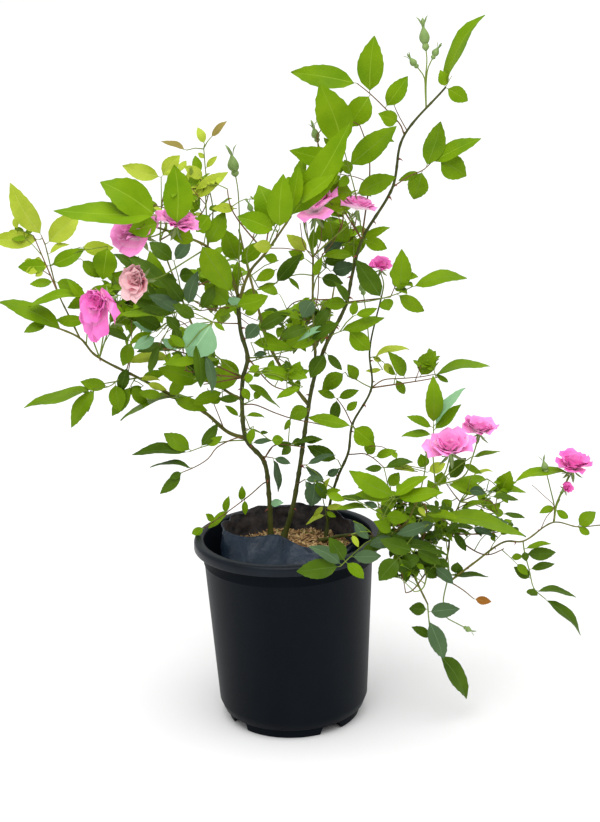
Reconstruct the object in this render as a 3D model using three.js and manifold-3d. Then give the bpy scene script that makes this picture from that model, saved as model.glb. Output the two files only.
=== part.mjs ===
// A young rose bush in its black nursery pot: canes, boughs and sprays of foliage
// growing out of a film grow bag filled with husk. Millimetres, +Z up. The origin is
// the centre of the pot's flat underside and the front of the bush looks along -Y.
import * as THREE from 'three';
import { mergeVertices } from 'three/addons/utils/BufferGeometryUtils.js';
import Module from 'manifold-3d';

// Clearance between pieces that touch on the real plant.
const GAP = 0.3;

// Nursery pot.
const POT_HEIGHT = 203;
const POT_WALL = 2;
const POT_SIDES = 36;
const LIP_RADIUS = 100;
const LIP_DROP = 10;
const MOUTH_RADIUS = 89;
const SHOULDER_RADIUS = 91;
const HEEL_RADIUS = 80.4;
const HEEL_HEIGHT = 22;
const FLOOR_HEIGHT = 11;
const FOOT_RADIUS = 70.8;
const FOOT_RING = 11;
const BOSS_RADIUS = 22;
const NOTCHES = 4;
const NOTCH_WIDTH = 25;
const NOTCH_TURN = -56;

// Film grow bag inside the pot, its front edge slumped in over the husk.
const BAG_FOOT_RADIUS = 68;
const BAG_MOUTH_RADIUS = 72;
const BAG_FILM = 1;
const BAG_BACK_HEIGHT = 213;
const BAG_SLUMP = 44;
const BAG_SLUMP_TURN = -112;
const BAG_SLUMP_SPREAD = 42;
const BAG_DROP = 13;
const BAG_DROP_TURN = -50;
const HUSK_HEIGHT = 185;

// Canes and boughs.
const LIMB_SIDES = 6;
const LIMB_STEP = 19;
const FLARE_REACH = 12;
const FLARE = 0.6;
const FORK_FINENESS = 12;

// Sprays of foliage.
const SPRAY_SIDES = 8;
const SPRAY_RINGS = 6;
const SPRAY_UNEVEN = 0.16;
const SPRAY_NECK = 0.3;
const SPRAY_SHOULDER = 0.45;
const SPRAY_GAP = 0.5;

// Places in the crown are given as somebody in front of the bush sees them: across and
// up on the upright plane through the pot's axis, then how far behind that plane.
const EYE_ACROSS = 18;
const EYE_UP = 760;
const EYE_AWAY = 1543;

// Canes stand on the husk at foot [x, y]. A bough leaves the limb it grows on at the
// point that is seen at fork [across, up]. thick holds the radius at root and tip.
const LIMBS = [
  {
    name: 'cane_left', foot: [-19, 38], thick: [2.7, 1.5],
    way: [[-18, 247, 34], [-22, 285, 26], [-39, 309, 20], [-42, 347, 12], [-40, 374, 5],
      [-34, 397, 0], [-40, 426, -5], [-41, 463, -10]],
  },
  {
    name: 'cane_tall', foot: [-6, 28], thick: [2.8, 1],
    way: [[5, 227, 26], [14, 268, 22], [26, 337, 18], [34, 373, 14], [47, 407, 10],
      [69, 449, 6], [76, 479, 4], [87, 515, 2], [119, 567, 0], [130, 615, -4], [173, 663, -10]],
  },
  {
    name: 'cane_right', foot: [41, 32], thick: [1.8, 0.9],
    way: [[47, 239, 40], [55, 264, 45], [67, 291, 50], [72, 321, 60], [93, 360, 72],
      [92, 400, 84], [106, 458, 98]],
  },
  {
    name: 'cane_low', foot: [34, 23], thick: [2, 1.4],
    way: [[66, 199, -25], [94, 194, -55], [121, 173, -68], [149, 156, -68], [172, 142, -62]],
  },
  {
    name: 'bough_left_long', on: 'cane_left', fork: [-40, 310], thick: [1.8, 0.8],
    way: [[-58, 318, 28], [-81, 340, 36], [-111, 358, 42], [-148, 380, 44], [-191, 406, 42],
      [-205, 424, 40], [-237, 440, 34]],
  },
  {
    name: 'bough_left_shoot', on: 'bough_left_long', fork: [-205, 424], thick: [1, 0.6],
    way: [[-215, 449, 46], [-224, 473, 54], [-233, 522, 66]],
  },
  {
    name: 'bough_left_top', on: 'cane_left', fork: [-41, 463], thick: [1.4, 0.9],
    way: [[-50, 491, -22], [-69, 513, -40], [-92, 525, -62], [-122, 536, -92]],
  },
  {
    name: 'bough_mid', on: 'cane_left', fork: [-41, 455], thick: [1.3, 0.9],
    way: [[-28, 486, -26], [-11, 505, -46], [16, 541, -80]],
  },
  {
    name: 'bough_left_inner', on: 'cane_left', fork: [-43, 352], thick: [1.3, 0.7],
    way: [[-62, 367, 34], [-78, 402, 58], [-103, 476, 92], [-117, 522, 110]],
  },
  {
    name: 'bough_cross', on: 'cane_tall', fork: [28, 344], thick: [1.4, 0.8],
    way: [[7, 374, 42], [-10, 407, 66], [-25, 468, 94], [-37, 530, 122]],
  },
  {
    name: 'bough_bloom', on: 'cane_tall', fork: [34, 373], thick: [1.2, 0.8],
    way: [[36, 403, 4], [35, 445, -2], [37, 500, -6]],
  },
  {
    name: 'bough_low_bloom', on: 'cane_low', fork: [98, 191], thick: [1.4, 0.8],
    way: [[125, 209, -66], [139, 234, -74], [158, 251, -84]],
  },
  {
    name: 'bough_low_up', on: 'cane_low', fork: [164, 147], thick: [1.2, 0.8],
    way: [[171, 178, -38], [174, 206, -10], [184, 232, 18]],
  },
  {
    name: 'bough_far', on: 'cane_low', fork: [172, 142], thick: [1.3, 0.6],
    way: [[198, 162, -62], [231, 185, -60], [251, 185, -58], [283, 205, -54], [309, 199, -50],
      [333, 200, -46]],
  },
  {
    name: 'bough_weep', on: 'cane_low', fork: [128, 168], thick: [1.2, 0.8],
    way: [[136, 145, -78], [148, 117, -82]],
  },
  {
    name: 'bough_back', on: 'cane_tall', fork: [47, 407], thick: [1.2, 0.8],
    way: [[50, 425, 52], [55, 455, 104], [62, 490, 150]],
  },
];

// A spray grows from the point of its limb seen at fork to its furthest tip. Wide is
// its size across the line of growth, deep its size towards the viewer, and bow how far
// its middle stands off the straight line from root to tip, to the left of its growth.
// Columns: name, limb, fork, tip, wide, deep, bow.
const SPRAYS = [
  ['top_tip', 'cane_tall', [173, 663], [212, 731, -12], 20, 13, 0],
  ['top_buds', 'cane_tall', [152, 645], [154, 723, -2], 20, 14, 0],
  ['top_left', 'cane_tall', [129, 612], [22, 683, -30], 42, 14, -14],
  ['top_leaf', 'cane_tall', [131, 618], [106, 717, 14], 34, 12, 13],
  ['upper_mid', 'cane_tall', [87, 515], [58, 671, -42], 80, 22, 0],
  ['upper_right', 'cane_tall', [119, 567], [208, 613, 14], 58, 14, 0],
  ['near_mid', 'bough_mid', [16, 541], [79, 632, -124], 28, 14, 0],
  ['mid', 'bough_mid', [-11, 505], [-38, 603, -72], 66, 34, 0],
  ['bloom', 'bough_bloom', [37, 500], [58, 566, -16], 64, 48, 0],
  ['left_tip', 'bough_left_top', [-69, 513], [-68, 632, -34], 66, 28, 0],
  ['left_near', 'bough_left_top', [-122, 536], [-222, 556, -134], 46, 18, -12],
  ['left_crown', 'bough_left_top', [-110, 532], [-104, 592, -116], 56, 26, 0],
  ['left_bloom', 'bough_left_long', [-186, 403], [-180, 484, 18], 44, 34, 0],
  ['inner_high', 'bough_left_inner', [-117, 522], [-70, 596, 116], 82, 44, 0],
  ['inner_back', 'bough_left_inner', [-100, 468], [-26, 474, 170], 86, 48, 0],
  ['inner_low', 'bough_left_inner', [-95, 450], [-182, 474, 74], 84, 40, 0],
  ['shoot', 'bough_left_shoot', [-222, 468], [-262, 585, 82], 66, 18, 0],
  ['left_end', 'bough_left_long', [-237, 440], [-284, 467, 22], 24, 14, 0],
  ['left_long', 'bough_left_long', [-148, 380], [-269, 353, 30], 36, 14, 4],
  ['left_core', 'cane_left', [-40, 376], [-152, 412, -40], 78, 40, 0],
  ['low_left', 'cane_left', [-36, 306], [-158, 297, 2], 30, 14, 4],
  ['low_drop', 'cane_left', [-26, 293], [-133, 254, 14], 16, 12, 4],
  ['pot_edge', 'cane_left', [-19, 258], [-87, 214, 8], 15, 12, 0],
  ['core_low', 'cane_left', [-34, 397], [30, 366, -30], 56, 34, 0],
  ['core_mid', 'bough_cross', [-10, 407], [58, 440, 46], 60, 40, 0],
  ['back_high', 'bough_back', [62, 490], [78, 566, 182], 76, 54, 0],
  ['back_low', 'bough_back', [55, 455], [0, 418, 186], 72, 52, 0],
  ['stem', 'bough_bloom', [35, 445], [64, 502, -44], 56, 38, 0],
  ['right_mid', 'cane_tall', [70, 451], [194, 472, -22], 48, 14, 4],
  ['right_low', 'cane_right', [93, 360], [217, 379, 96], 46, 18, 2],
  ['right_curl', 'cane_right', [72, 321], [112, 288, 6], 48, 30, 8],
  ['low_bloom', 'bough_low_bloom', [158, 251], [204, 322, -78], 58, 40, 0],
  ['low_leaf', 'bough_low_bloom', [156, 250], [158, 369, -106], 34, 14, 6],
  ['low_right', 'bough_low_up', [184, 232], [246, 250, 40], 50, 24, 0],
  ['low_long', 'bough_low_up', [173, 196], [252, 187, -40], 38, 20, 8],
  ['low_dense', 'cane_low', [135, 165], [134, 250, -20], 92, 48, 0],
  ['low_under', 'cane_low', [149, 156], [114, 138, -106], 56, 34, 0],
  ['front_rim', 'cane_low', [92, 194], [8, 158, -114], 32, 12, -13],
  ['far_bloom', 'bough_far', [283, 205], [303, 276, -50], 42, 32, 0],
  ['far_drop', 'bough_far', [251, 185], [314, 74, -42], 38, 14, -12],
  ['weep', 'bough_weep', [148, 117], [189, 3, -62], 32, 14, -6],
];

const BLACK_PLASTIC = { color: 0x17191b, roughness: 0.45 };
const BLACK_FILM = { color: 0x232a33, roughness: 0.4 };
const HUSK = { color: 0x9b7a4c, roughness: 0.95 };
const GREEN_BARK = { color: 0x4f5a26, roughness: 0.7 };
const FOLIAGE = { color: 0x5f9a1c, roughness: 0.6 };

const wasm = await Module();
wasm.setup();

// Turns a closed three.js geometry into a solid that can be joined and cut.
function solidOf(geometry) {
  geometry.deleteAttribute('normal');
  geometry.deleteAttribute('uv');
  const merged = mergeVertices(geometry, 1e-4);
  return new wasm.Manifold(new wasm.Mesh({
    numProp: 3,
    vertProperties: new Float32Array(merged.attributes.position.array),
    triVerts: new Uint32Array(merged.index.array),
  }));
}

function meshOf(name, solid, finish) {
  const mesh = solid.getMesh();
  const geometry = new THREE.BufferGeometry();
  geometry.setAttribute('position', new THREE.BufferAttribute(mesh.vertProperties, 3));
  geometry.setIndex(new THREE.BufferAttribute(mesh.triVerts, 1));
  geometry.computeVertexNormals();
  const node = new THREE.Mesh(geometry, new THREE.MeshStandardMaterial(finish));
  node.name = name;
  return node;
}

// The largest piece of a solid that a cut has left in several pieces.
function mainPiece(solid) {
  const pieces = solid.decompose();
  return pieces.reduce((best, piece) => (piece.volume() > best.volume() ? piece : best));
}

// A round profile [radius, height] turned about the upright axis.
function turned(profile, sides) {
  const points = profile.map(([radius, height]) => new THREE.Vector2(radius, height));
  return new THREE.LatheGeometry(points, sides).rotateX(Math.PI / 2);
}

// Pot: tapered wall, turned-down lip, and a floor that stands on a centre boss and on a
// foot ring cut by drain notches.
function makePot() {
  const ringInner = FOOT_RADIUS - FOOT_RING;
  const floorTop = FLOOR_HEIGHT;
  const floorUnder = FLOOR_HEIGHT - POT_WALL;
  const lipUnder = POT_HEIGHT - LIP_DROP;
  const profile = [
    [0, 0],
    [BOSS_RADIUS, 0],
    [BOSS_RADIUS + 5, floorUnder],
    [ringInner - 3, floorUnder],
    [ringInner, 0],
    [FOOT_RADIUS, 0],
    [FOOT_RADIUS, floorUnder],
    [HEEL_RADIUS - 4.4, FLOOR_HEIGHT],
    [HEEL_RADIUS, HEEL_HEIGHT],
    [SHOULDER_RADIUS, POT_HEIGHT - 2 * POT_WALL],
    [LIP_RADIUS - POT_WALL, POT_HEIGHT - 2 * POT_WALL],
    [LIP_RADIUS - POT_WALL, lipUnder],
    [LIP_RADIUS, lipUnder],
    [LIP_RADIUS, POT_HEIGHT - POT_WALL],
    [LIP_RADIUS - POT_WALL, POT_HEIGHT],
    [MOUTH_RADIUS + POT_WALL, POT_HEIGHT],
    [MOUTH_RADIUS, POT_HEIGHT - POT_WALL],
    [HEEL_RADIUS - POT_WALL, HEEL_HEIGHT + POT_WALL],
    [HEEL_RADIUS - 4.4 - POT_WALL, FLOOR_HEIGHT + 2 * POT_WALL],
    [FOOT_RADIUS - POT_WALL, floorTop],
    [FOOT_RADIUS - POT_WALL, POT_WALL],
    [ringInner + POT_WALL, POT_WALL],
    [ringInner - 2, floorTop],
    [BOSS_RADIUS + 3, floorTop],
    [BOSS_RADIUS - 1, POT_WALL],
    [0, POT_WALL],
  ];
  let pot = solidOf(turned(profile, POT_SIDES));
  const reach = 2 * FOOT_RING;
  const notch = new THREE.BoxGeometry(reach, NOTCH_WIDTH, 2 * floorUnder - 1);
  notch.translate(ringInner - 4 + reach / 2, 0, 0);
  for (let i = 0; i < NOTCHES; i += 1) {
    const turn = THREE.MathUtils.degToRad(NOTCH_TURN + (i * 360) / NOTCHES);
    pot = pot.subtract(solidOf(notch.clone().rotateZ(turn)));
  }
  return pot;
}

// Grow bag: an open film tube with a floor. Above the husk its front leans inwards and
// its edge drops.
function makeBag() {
  const bottom = FLOOR_HEIGHT + GAP;
  const middle = (HUSK_HEIGHT + BAG_BACK_HEIGHT) / 2;
  const profile = [
    [0, bottom],
    [BAG_FOOT_RADIUS - 5, bottom],
    [BAG_FOOT_RADIUS, bottom + 5],
    [BAG_MOUTH_RADIUS, HUSK_HEIGHT + 1],
    [BAG_MOUTH_RADIUS, middle],
    [BAG_MOUTH_RADIUS, BAG_BACK_HEIGHT],
    [BAG_MOUTH_RADIUS - BAG_FILM, BAG_BACK_HEIGHT],
    [BAG_MOUTH_RADIUS - BAG_FILM, middle],
    [BAG_MOUTH_RADIUS - BAG_FILM, HUSK_HEIGHT + 1],
    [BAG_FOOT_RADIUS - BAG_FILM, bottom + 5],
    [BAG_FOOT_RADIUS - 5.5, bottom + BAG_FILM],
    [0, bottom + BAG_FILM],
  ];
  const geometry = turned(profile, POT_SIDES);
  const spot = geometry.attributes.position;
  for (let i = 0; i < spot.count; i += 1) {
    const height = spot.getZ(i);
    const rise = (height - HUSK_HEIGHT - 1) / (BAG_BACK_HEIGHT - HUSK_HEIGHT - 1);
    if (rise > 0.01) {
      const radius = Math.hypot(spot.getX(i), spot.getY(i));
      const angle = THREE.MathUtils.radToDeg(Math.atan2(spot.getY(i), spot.getX(i)));
      const off = THREE.MathUtils.euclideanModulo(angle - BAG_SLUMP_TURN + 180, 360) - 180;
      const slump = Math.exp(-((off / BAG_SLUMP_SPREAD) ** 2));
      const low = 1 + Math.cos(THREE.MathUtils.degToRad(angle - BAG_DROP_TURN));
      const shrink = 1 - (BAG_SLUMP * slump * rise) / radius;
      const drop = (BAG_DROP * rise * low) / 2;
      spot.setXYZ(i, spot.getX(i) * shrink, spot.getY(i) * shrink, height - drop);
    }
  }
  return solidOf(geometry);
}

function makeHusk() {
  const bottom = FLOOR_HEIGHT + 2 * GAP + BAG_FILM;
  const wall = BAG_FILM + 2 * GAP;
  return solidOf(turned([
    [0, bottom],
    [BAG_FOOT_RADIUS - 6, bottom],
    [BAG_FOOT_RADIUS - wall, bottom + 5],
    [BAG_MOUTH_RADIUS - wall, HUSK_HEIGHT],
    [0, HUSK_HEIGHT],
  ], POT_SIDES));
}

// The real point for a place given as it is seen from the front.
function place([across, up, behind]) {
  const scale = (EYE_AWAY + behind) / EYE_AWAY;
  return new THREE.Vector3(
    EYE_ACROSS + (across - EYE_ACROSS) * scale,
    behind,
    EYE_UP + (up - EYE_UP) * scale,
  );
}

// The point of a limb's middle line that is seen closest to [across, up]. The line runs
// straight from ring to ring, as the limb's sides do.
function forkPoint(limb, [across, up]) {
  const rings = limb.curve.getSpacedPoints(limb.steps);
  let best = null;
  let bestOff = Infinity;
  for (let i = 0; i < limb.steps * FORK_FINENESS; i += 1) {
    const ring = Math.floor(i / FORK_FINENESS);
    const share = (i % FORK_FINENESS) / (FORK_FINENESS - 1);
    const point = rings[ring].clone().lerp(rings[ring + 1], share);
    const scale = EYE_AWAY / (EYE_AWAY + point.y);
    const offAcross = EYE_ACROSS + (point.x - EYE_ACROSS) * scale - across;
    const offUp = EYE_UP + (point.z - EYE_UP) * scale - up;
    const off = Math.hypot(offAcross, offUp);
    if (off < bestOff) {
      bestOff = off;
      best = point;
    }
  }
  return best;
}

function limbCurve(limb, limbs) {
  const start = limb.foot
    ? new THREE.Vector3(limb.foot[0], limb.foot[1], HUSK_HEIGHT + GAP)
    : forkPoint(limbs.get(limb.on), limb.fork);
  return new THREE.CatmullRomCurve3([start, ...limb.way.map(place)], false, 'centripetal');
}

// One tapering limb along its middle line. A cane flares at its foot, which is cut flat
// on the husk. grow makes it fatter and longer all round, for cutting what it meets.
function makeLimb(limb, grow) {
  const { curve, steps, thick } = limb;
  const length = curve.getLength();
  const geometry = new THREE.CylinderGeometry(1, 1, 1, LIMB_SIDES, steps);
  const frames = curve.computeFrenetFrames(steps);
  const spot = geometry.attributes.position;
  const offset = new THREE.Vector3();
  for (let i = 0; i < spot.count; i += 1) {
    const share = spot.getY(i) + 0.5;
    const ring = Math.round(share * steps);
    const flare = limb.foot ? FLARE * Math.exp(-(share * length) / FLARE_REACH) : 0;
    const radius = THREE.MathUtils.lerp(thick[0], thick[1], share) * (1 + flare) + grow;
    const level = Boolean(limb.foot) && ring === 0;
    const side = level ? new THREE.Vector3(1, 0, 0) : frames.binormals[ring];
    const front = level ? new THREE.Vector3(0, -1, 0) : frames.normals[ring];
    const along = level ? new THREE.Vector3(0, 0, 1) : frames.tangents[ring];
    const end = Math.sign(2 * ring - steps) * (ring === 0 || ring === steps ? grow : 0);
    offset.copy(curve.getPointAt(share));
    offset.addScaledVector(side, spot.getX(i) * radius);
    offset.addScaledVector(front, spot.getZ(i) * radius);
    offset.addScaledVector(along, end);
    spot.setXYZ(i, offset.x, offset.y, offset.z);
  }
  return solidOf(geometry);
}

// One spray: a long uneven lens from its limb to its furthest tip, narrow at the neck.
function makeSpray([name, on, fork, tipSeen, wide, deep, bow], limbs, grow) {
  const root = forkPoint(limbs.get(on), fork);
  const tip = place(tipSeen);
  const along = tip.clone().sub(root).normalize();
  const sight = root.clone().add(tip).multiplyScalar(0.5);
  sight.sub(new THREE.Vector3(EYE_ACROSS, -EYE_AWAY, EYE_UP)).normalize();
  const side = sight.clone().cross(along).normalize();
  const flat = side.clone().cross(along);
  const middle = root.clone().add(tip).multiplyScalar(0.5);
  middle.addScaledVector(side, -bow);
  root.addScaledVector(along, -grow);
  tip.addScaledVector(along, grow);
  const curve = new THREE.CatmullRomCurve3([root, middle, tip]);
  const seed = name.length + wide + tipSeen[0] / 7;
  const geometry = new THREE.SphereGeometry(1, SPRAY_SIDES, SPRAY_RINGS);
  const spot = geometry.attributes.position;
  for (let i = 0; i < spot.count; i += 1) {
    const x = spot.getX(i);
    const y = -spot.getY(i);
    const z = -spot.getZ(i);
    const share = (y + 1) / 2;
    const shoulder = THREE.MathUtils.smoothstep(share, 0, SPRAY_SHOULDER);
    const neck = THREE.MathUtils.lerp(SPRAY_NECK, 1, shoulder);
    const waves = Math.sin(3 * x + 2.2 * y + seed) + Math.sin(2.6 * z - 3.4 * y + 2 * seed);
    const girth = (neck * (1 + SPRAY_UNEVEN * waves)) / 2;
    const point = curve.getPoint(share);
    point.addScaledVector(side, x * (wide * girth + grow));
    point.addScaledVector(flat, z * (deep * girth + grow));
    spot.setXYZ(i, point.x, point.y, point.z);
  }
  return solidOf(geometry);
}

const bush = new THREE.Group();
bush.add(meshOf('pot', makePot(), BLACK_PLASTIC));
bush.add(meshOf('grow_bag', makeBag(), BLACK_FILM));
bush.add(meshOf('husk', makeHusk(), HUSK));

// Each limb is cut clear of the limbs before it.
const limbs = new Map();
const limbCutters = [];
for (const limb of LIMBS) {
  limb.curve = limbCurve(limb, limbs);
  limb.steps = Math.max(3, Math.round(limb.curve.getLength() / LIMB_STEP));
  limbs.set(limb.name, limb);
  const solid = limbCutters.reduce((left, cutter) => left.subtract(cutter), makeLimb(limb, 0));
  bush.add(meshOf(limb.name, mainPiece(solid), GREEN_BARK));
  limbCutters.push(makeLimb(limb, GAP));
}

// Each spray is cut round the limbs and clear of the sprays before it.
const cutters = [...limbCutters];
for (const spray of SPRAYS) {
  const solid = cutters.reduce((left, cutter) => left.subtract(cutter), makeSpray(spray, limbs, 0));
  bush.add(meshOf(`spray_${spray[0]}`, mainPiece(solid), FOLIAGE));
  cutters.push(makeSpray(spray, limbs, SPRAY_GAP));
}

export default bush;
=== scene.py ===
import math
import random

import bmesh
import bpy
import numpy as np
from mathutils import Matrix, Quaternion, Vector, noise
from mathutils.bvhtree import BVHTree


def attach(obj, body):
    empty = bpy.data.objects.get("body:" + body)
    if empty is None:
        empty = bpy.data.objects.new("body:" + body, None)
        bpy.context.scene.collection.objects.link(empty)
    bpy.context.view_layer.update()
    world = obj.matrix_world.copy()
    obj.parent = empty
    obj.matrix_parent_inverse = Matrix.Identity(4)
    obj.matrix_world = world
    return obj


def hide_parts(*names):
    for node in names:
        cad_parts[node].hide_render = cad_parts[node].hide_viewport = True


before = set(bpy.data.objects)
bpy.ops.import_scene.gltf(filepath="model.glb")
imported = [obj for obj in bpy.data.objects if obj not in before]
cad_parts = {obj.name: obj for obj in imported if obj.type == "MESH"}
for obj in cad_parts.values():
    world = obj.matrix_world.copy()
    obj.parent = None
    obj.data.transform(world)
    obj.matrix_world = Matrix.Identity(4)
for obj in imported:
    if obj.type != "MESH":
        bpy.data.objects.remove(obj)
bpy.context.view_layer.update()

scene = bpy.context.scene

# Studio: the bush stands on a wide white floor, lit by a white surround, a big soft light
# over its front and a broad one overhead. The view looks down on it a little.
EYE, AIM = Vector((0.018, -1.5433, 0.7602)), Vector((0.018, 0, 0.338))
ROLL = math.radians(-2.1)
LENS, FILM, FARTHEST = 67.3, 36, 2000
KEY_SPOT, KEY_AIM = Vector((-0.35, -1.5, 2.3)), Vector((0, 0, 0.4))
KEY_SIZE, KEY_WATTS = 1.4, 14.5
OVERHEAD_WAY, OVERHEAD_STRENGTH, OVERHEAD_SPREAD = (-0.13, 0.26, -1), 2.1, 75
SURROUND_STRENGTH, BACKDROP_STRENGTH = 0.66, 1.0
FLOOR_RADIUS, FLOOR_SIDES, FLOOR_WHITE = 400, 96, 0.87

camera = bpy.data.objects.new("studio_camera", bpy.data.cameras.new("studio_camera"))
camera.data.lens = LENS
camera.data.sensor_width = FILM
camera.data.clip_end = FARTHEST
camera.location = EYE
look = (AIM - EYE).to_track_quat("-Z", "Y").to_matrix() @ Matrix.Rotation(ROLL, 3, "Z")
camera.rotation_euler = look.to_euler()
scene.collection.objects.link(camera)
scene.camera = camera
scene.view_settings.view_transform = "Standard"
scene.view_settings.look = "None"


def tone(code):
    """A colour such as 5f9a1c as the linear values that a shader takes."""
    parts = [int(code[i:i + 2], 16) / 255 for i in (0, 2, 4)]
    return tuple(p / 12.92 if p <= 0.04045 else ((p + 0.055) / 1.055) ** 2.4 for p in parts) + (1,)


def studio_light(name, kind, strength, way, spot=(0, 0, 0)):
    """Adds a light that stands at spot and shines along way."""
    lamp = bpy.data.lights.new(name, kind)
    lamp.energy = strength
    item = bpy.data.objects.new(name, lamp)
    item.location = spot
    item.rotation_euler = Vector(way).to_track_quat("-Z", "Y").to_euler()
    scene.collection.objects.link(item)
    return lamp


key_light = studio_light("key_light", "AREA", KEY_WATTS, KEY_AIM - KEY_SPOT, KEY_SPOT)
key_light.shape = "DISK"
key_light.size = KEY_SIZE
overhead_light = studio_light("overhead_light", "SUN", OVERHEAD_STRENGTH, OVERHEAD_WAY)
overhead_light.angle = math.radians(OVERHEAD_SPREAD)

# The backdrop that shows is a pure white, and the surround that lights the bush is dimmer.
world = bpy.data.worlds.new("white_surround")
world.use_nodes = True
world_nodes, world_links = world.node_tree.nodes, world.node_tree.links
either = world_nodes.new("ShaderNodeMixShader")
ray = world_nodes.new("ShaderNodeLightPath")
world_links.new(ray.outputs["Is Camera Ray"], either.inputs[0])
surround, backdrop = world_nodes["Background"], world_nodes.new("ShaderNodeBackground")
for socket, white, strength in ((1, surround, SURROUND_STRENGTH), (2, backdrop, BACKDROP_STRENGTH)):
    white.inputs["Color"].default_value = (1, 1, 1, 1)
    white.inputs["Strength"].default_value = strength
    world_links.new(white.outputs[0], either.inputs[socket])
world_links.new(either.outputs[0], world_nodes["World Output"].inputs[0])
scene.world = world

disc = bmesh.new()
bmesh.ops.create_circle(disc, cap_ends=True, segments=FLOOR_SIDES, radius=FLOOR_RADIUS)
floor_mesh = bpy.data.meshes.new("studio_floor")
disc.to_mesh(floor_mesh)
disc.free()
studio_floor = bpy.data.objects.new("studio_floor", floor_mesh)
scene.collection.objects.link(studio_floor)
floor_white = bpy.data.materials.new("floor_white")
floor_white.use_nodes = True
floor_shader = floor_white.node_tree.nodes["Principled BSDF"]
floor_shader.inputs["Base Color"].default_value = (FLOOR_WHITE, FLOOR_WHITE, FLOOR_WHITE, 1)
floor_shader.inputs["Roughness"].default_value = 1.0
floor_shader.inputs["Specular IOR Level"].default_value = 0.0
floor_mesh.materials.append(floor_white)


# Nursery pot: one injection-moulded shell of black polypropylene, with a tapered wall, a
# turned-down lip, a bead under the lip, and a foot ring cut by four drain notches.
POT_HEIGHT, POT_WALL = 0.203, 0.002
POT_STEPS = 144
LIP_RADIUS, LIP_DROP = 0.100, 0.010
MOUTH_RADIUS, SHOULDER_RADIUS = 0.089, 0.091
HEEL_RADIUS, HEEL_HEIGHT = 0.0804, 0.022
FOOT_RADIUS, FOOT_RING, FOOT_HEIGHT = 0.0708, 0.011, 0.009
BOSS_RADIUS = 0.022
NOTCH_STEP, NOTCH_WIDTH, NOTCH_TURN = 90, 0.025, -56
NOTCH_GAP, NOTCH_SKIN = 0.0015, 0.0012
BEAD_HEIGHT, BEAD_RISE, BEAD_FLAT, BEAD_PROUD = 0.178, 0.0016, 0.0006, 0.0007
SHARP_FOLD = math.radians(38)
PATCH_DETAIL = 3


def surface(name, dark, light, size, rough, bump=0.0, grain=0.001, spread=0.5, stretch=(1, 1, 1),
            shine=0.5):
    """A finish whose colour drifts between two tones over patches of about size metres, with
    a fine grain in its relief."""
    made = bpy.data.materials.new(name)
    made.use_nodes = True
    nodes, links = made.node_tree.nodes, made.node_tree.links
    shader = nodes["Principled BSDF"]
    shader.inputs["Roughness"].default_value = rough
    shader.inputs["Specular IOR Level"].default_value = shine
    where = nodes.new("ShaderNodeTexCoord")
    scaled = nodes.new("ShaderNodeMapping")
    scaled.inputs["Scale"].default_value = stretch
    links.new(where.outputs["Object"], scaled.inputs["Vector"])

    def noise_of(width):
        """The strength of a noise whose patches are about width metres."""
        pattern = nodes.new("ShaderNodeTexNoise")
        pattern.inputs["Scale"].default_value = 1 / width
        pattern.inputs["Detail"].default_value = PATCH_DETAIL
        links.new(scaled.outputs["Vector"], pattern.inputs["Vector"])
        return pattern.outputs["Fac"]

    ramp = nodes.new("ShaderNodeValToRGB")
    for end, way, code in zip(ramp.color_ramp.elements, (-1, 1), (dark, light)):
        end.position = 0.5 + way * spread / 2
        end.color = tone(code)
    links.new(noise_of(size), ramp.inputs["Fac"])
    links.new(ramp.outputs["Color"], shader.inputs["Base Color"])
    if bump:
        raised = nodes.new("ShaderNodeBump")
        raised.inputs["Strength"].default_value = bump
        raised.inputs["Distance"].default_value = grain
        links.new(noise_of(grain), raised.inputs["Height"])
        links.new(raised.outputs["Normal"], shader.inputs["Normal"])
    return made


def piece_from(name, mesh, slot, *nodes):
    """Puts a finished mesh into the scene as a piece of the plant."""
    item = bpy.data.objects.new(name, mesh)
    scene.collection.objects.link(item)
    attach(item, "root")
    if nodes:
        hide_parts(*nodes)
    return item


def mesh_from(name, bm, *finishes, smooth=True):
    """Turns bm into a mesh that carries the finishes, and frees it."""
    mesh = bpy.data.meshes.new(name)
    bm.to_mesh(mesh)
    bm.free()
    if smooth:
        mesh.shade_smooth()
    for finish in finishes:
        mesh.materials.append(finish)
    return mesh


def turn_profile(bm, profile, steps):
    """Turns a list of [radius, height] about the upright axis, and closes it."""
    spots = [bm.verts.new((radius, 0, height)) for radius, height in profile]
    lines = [bm.edges.new(pair) for pair in zip(spots, spots[1:])]
    bmesh.ops.spin(bm, geom=spots + lines, cent=(0, 0, 0), axis=(0, 0, 1), dvec=(0, 0, 0),
                   angle=math.tau, steps=steps, use_merge=True)
    bmesh.ops.remove_doubles(bm, verts=bm.verts, dist=1e-6)
    bmesh.ops.recalc_face_normals(bm, faces=bm.faces)


def wall_radius(height):
    """The outer radius of the tapered wall at a height."""
    share = (height - HEEL_HEIGHT) / (POT_HEIGHT - 2 * POT_WALL - HEEL_HEIGHT)
    return HEEL_RADIUS + (SHOULDER_RADIUS - HEEL_RADIUS) * share


ring_inner = FOOT_RADIUS - FOOT_RING
lip_under = POT_HEIGHT - LIP_DROP
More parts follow.
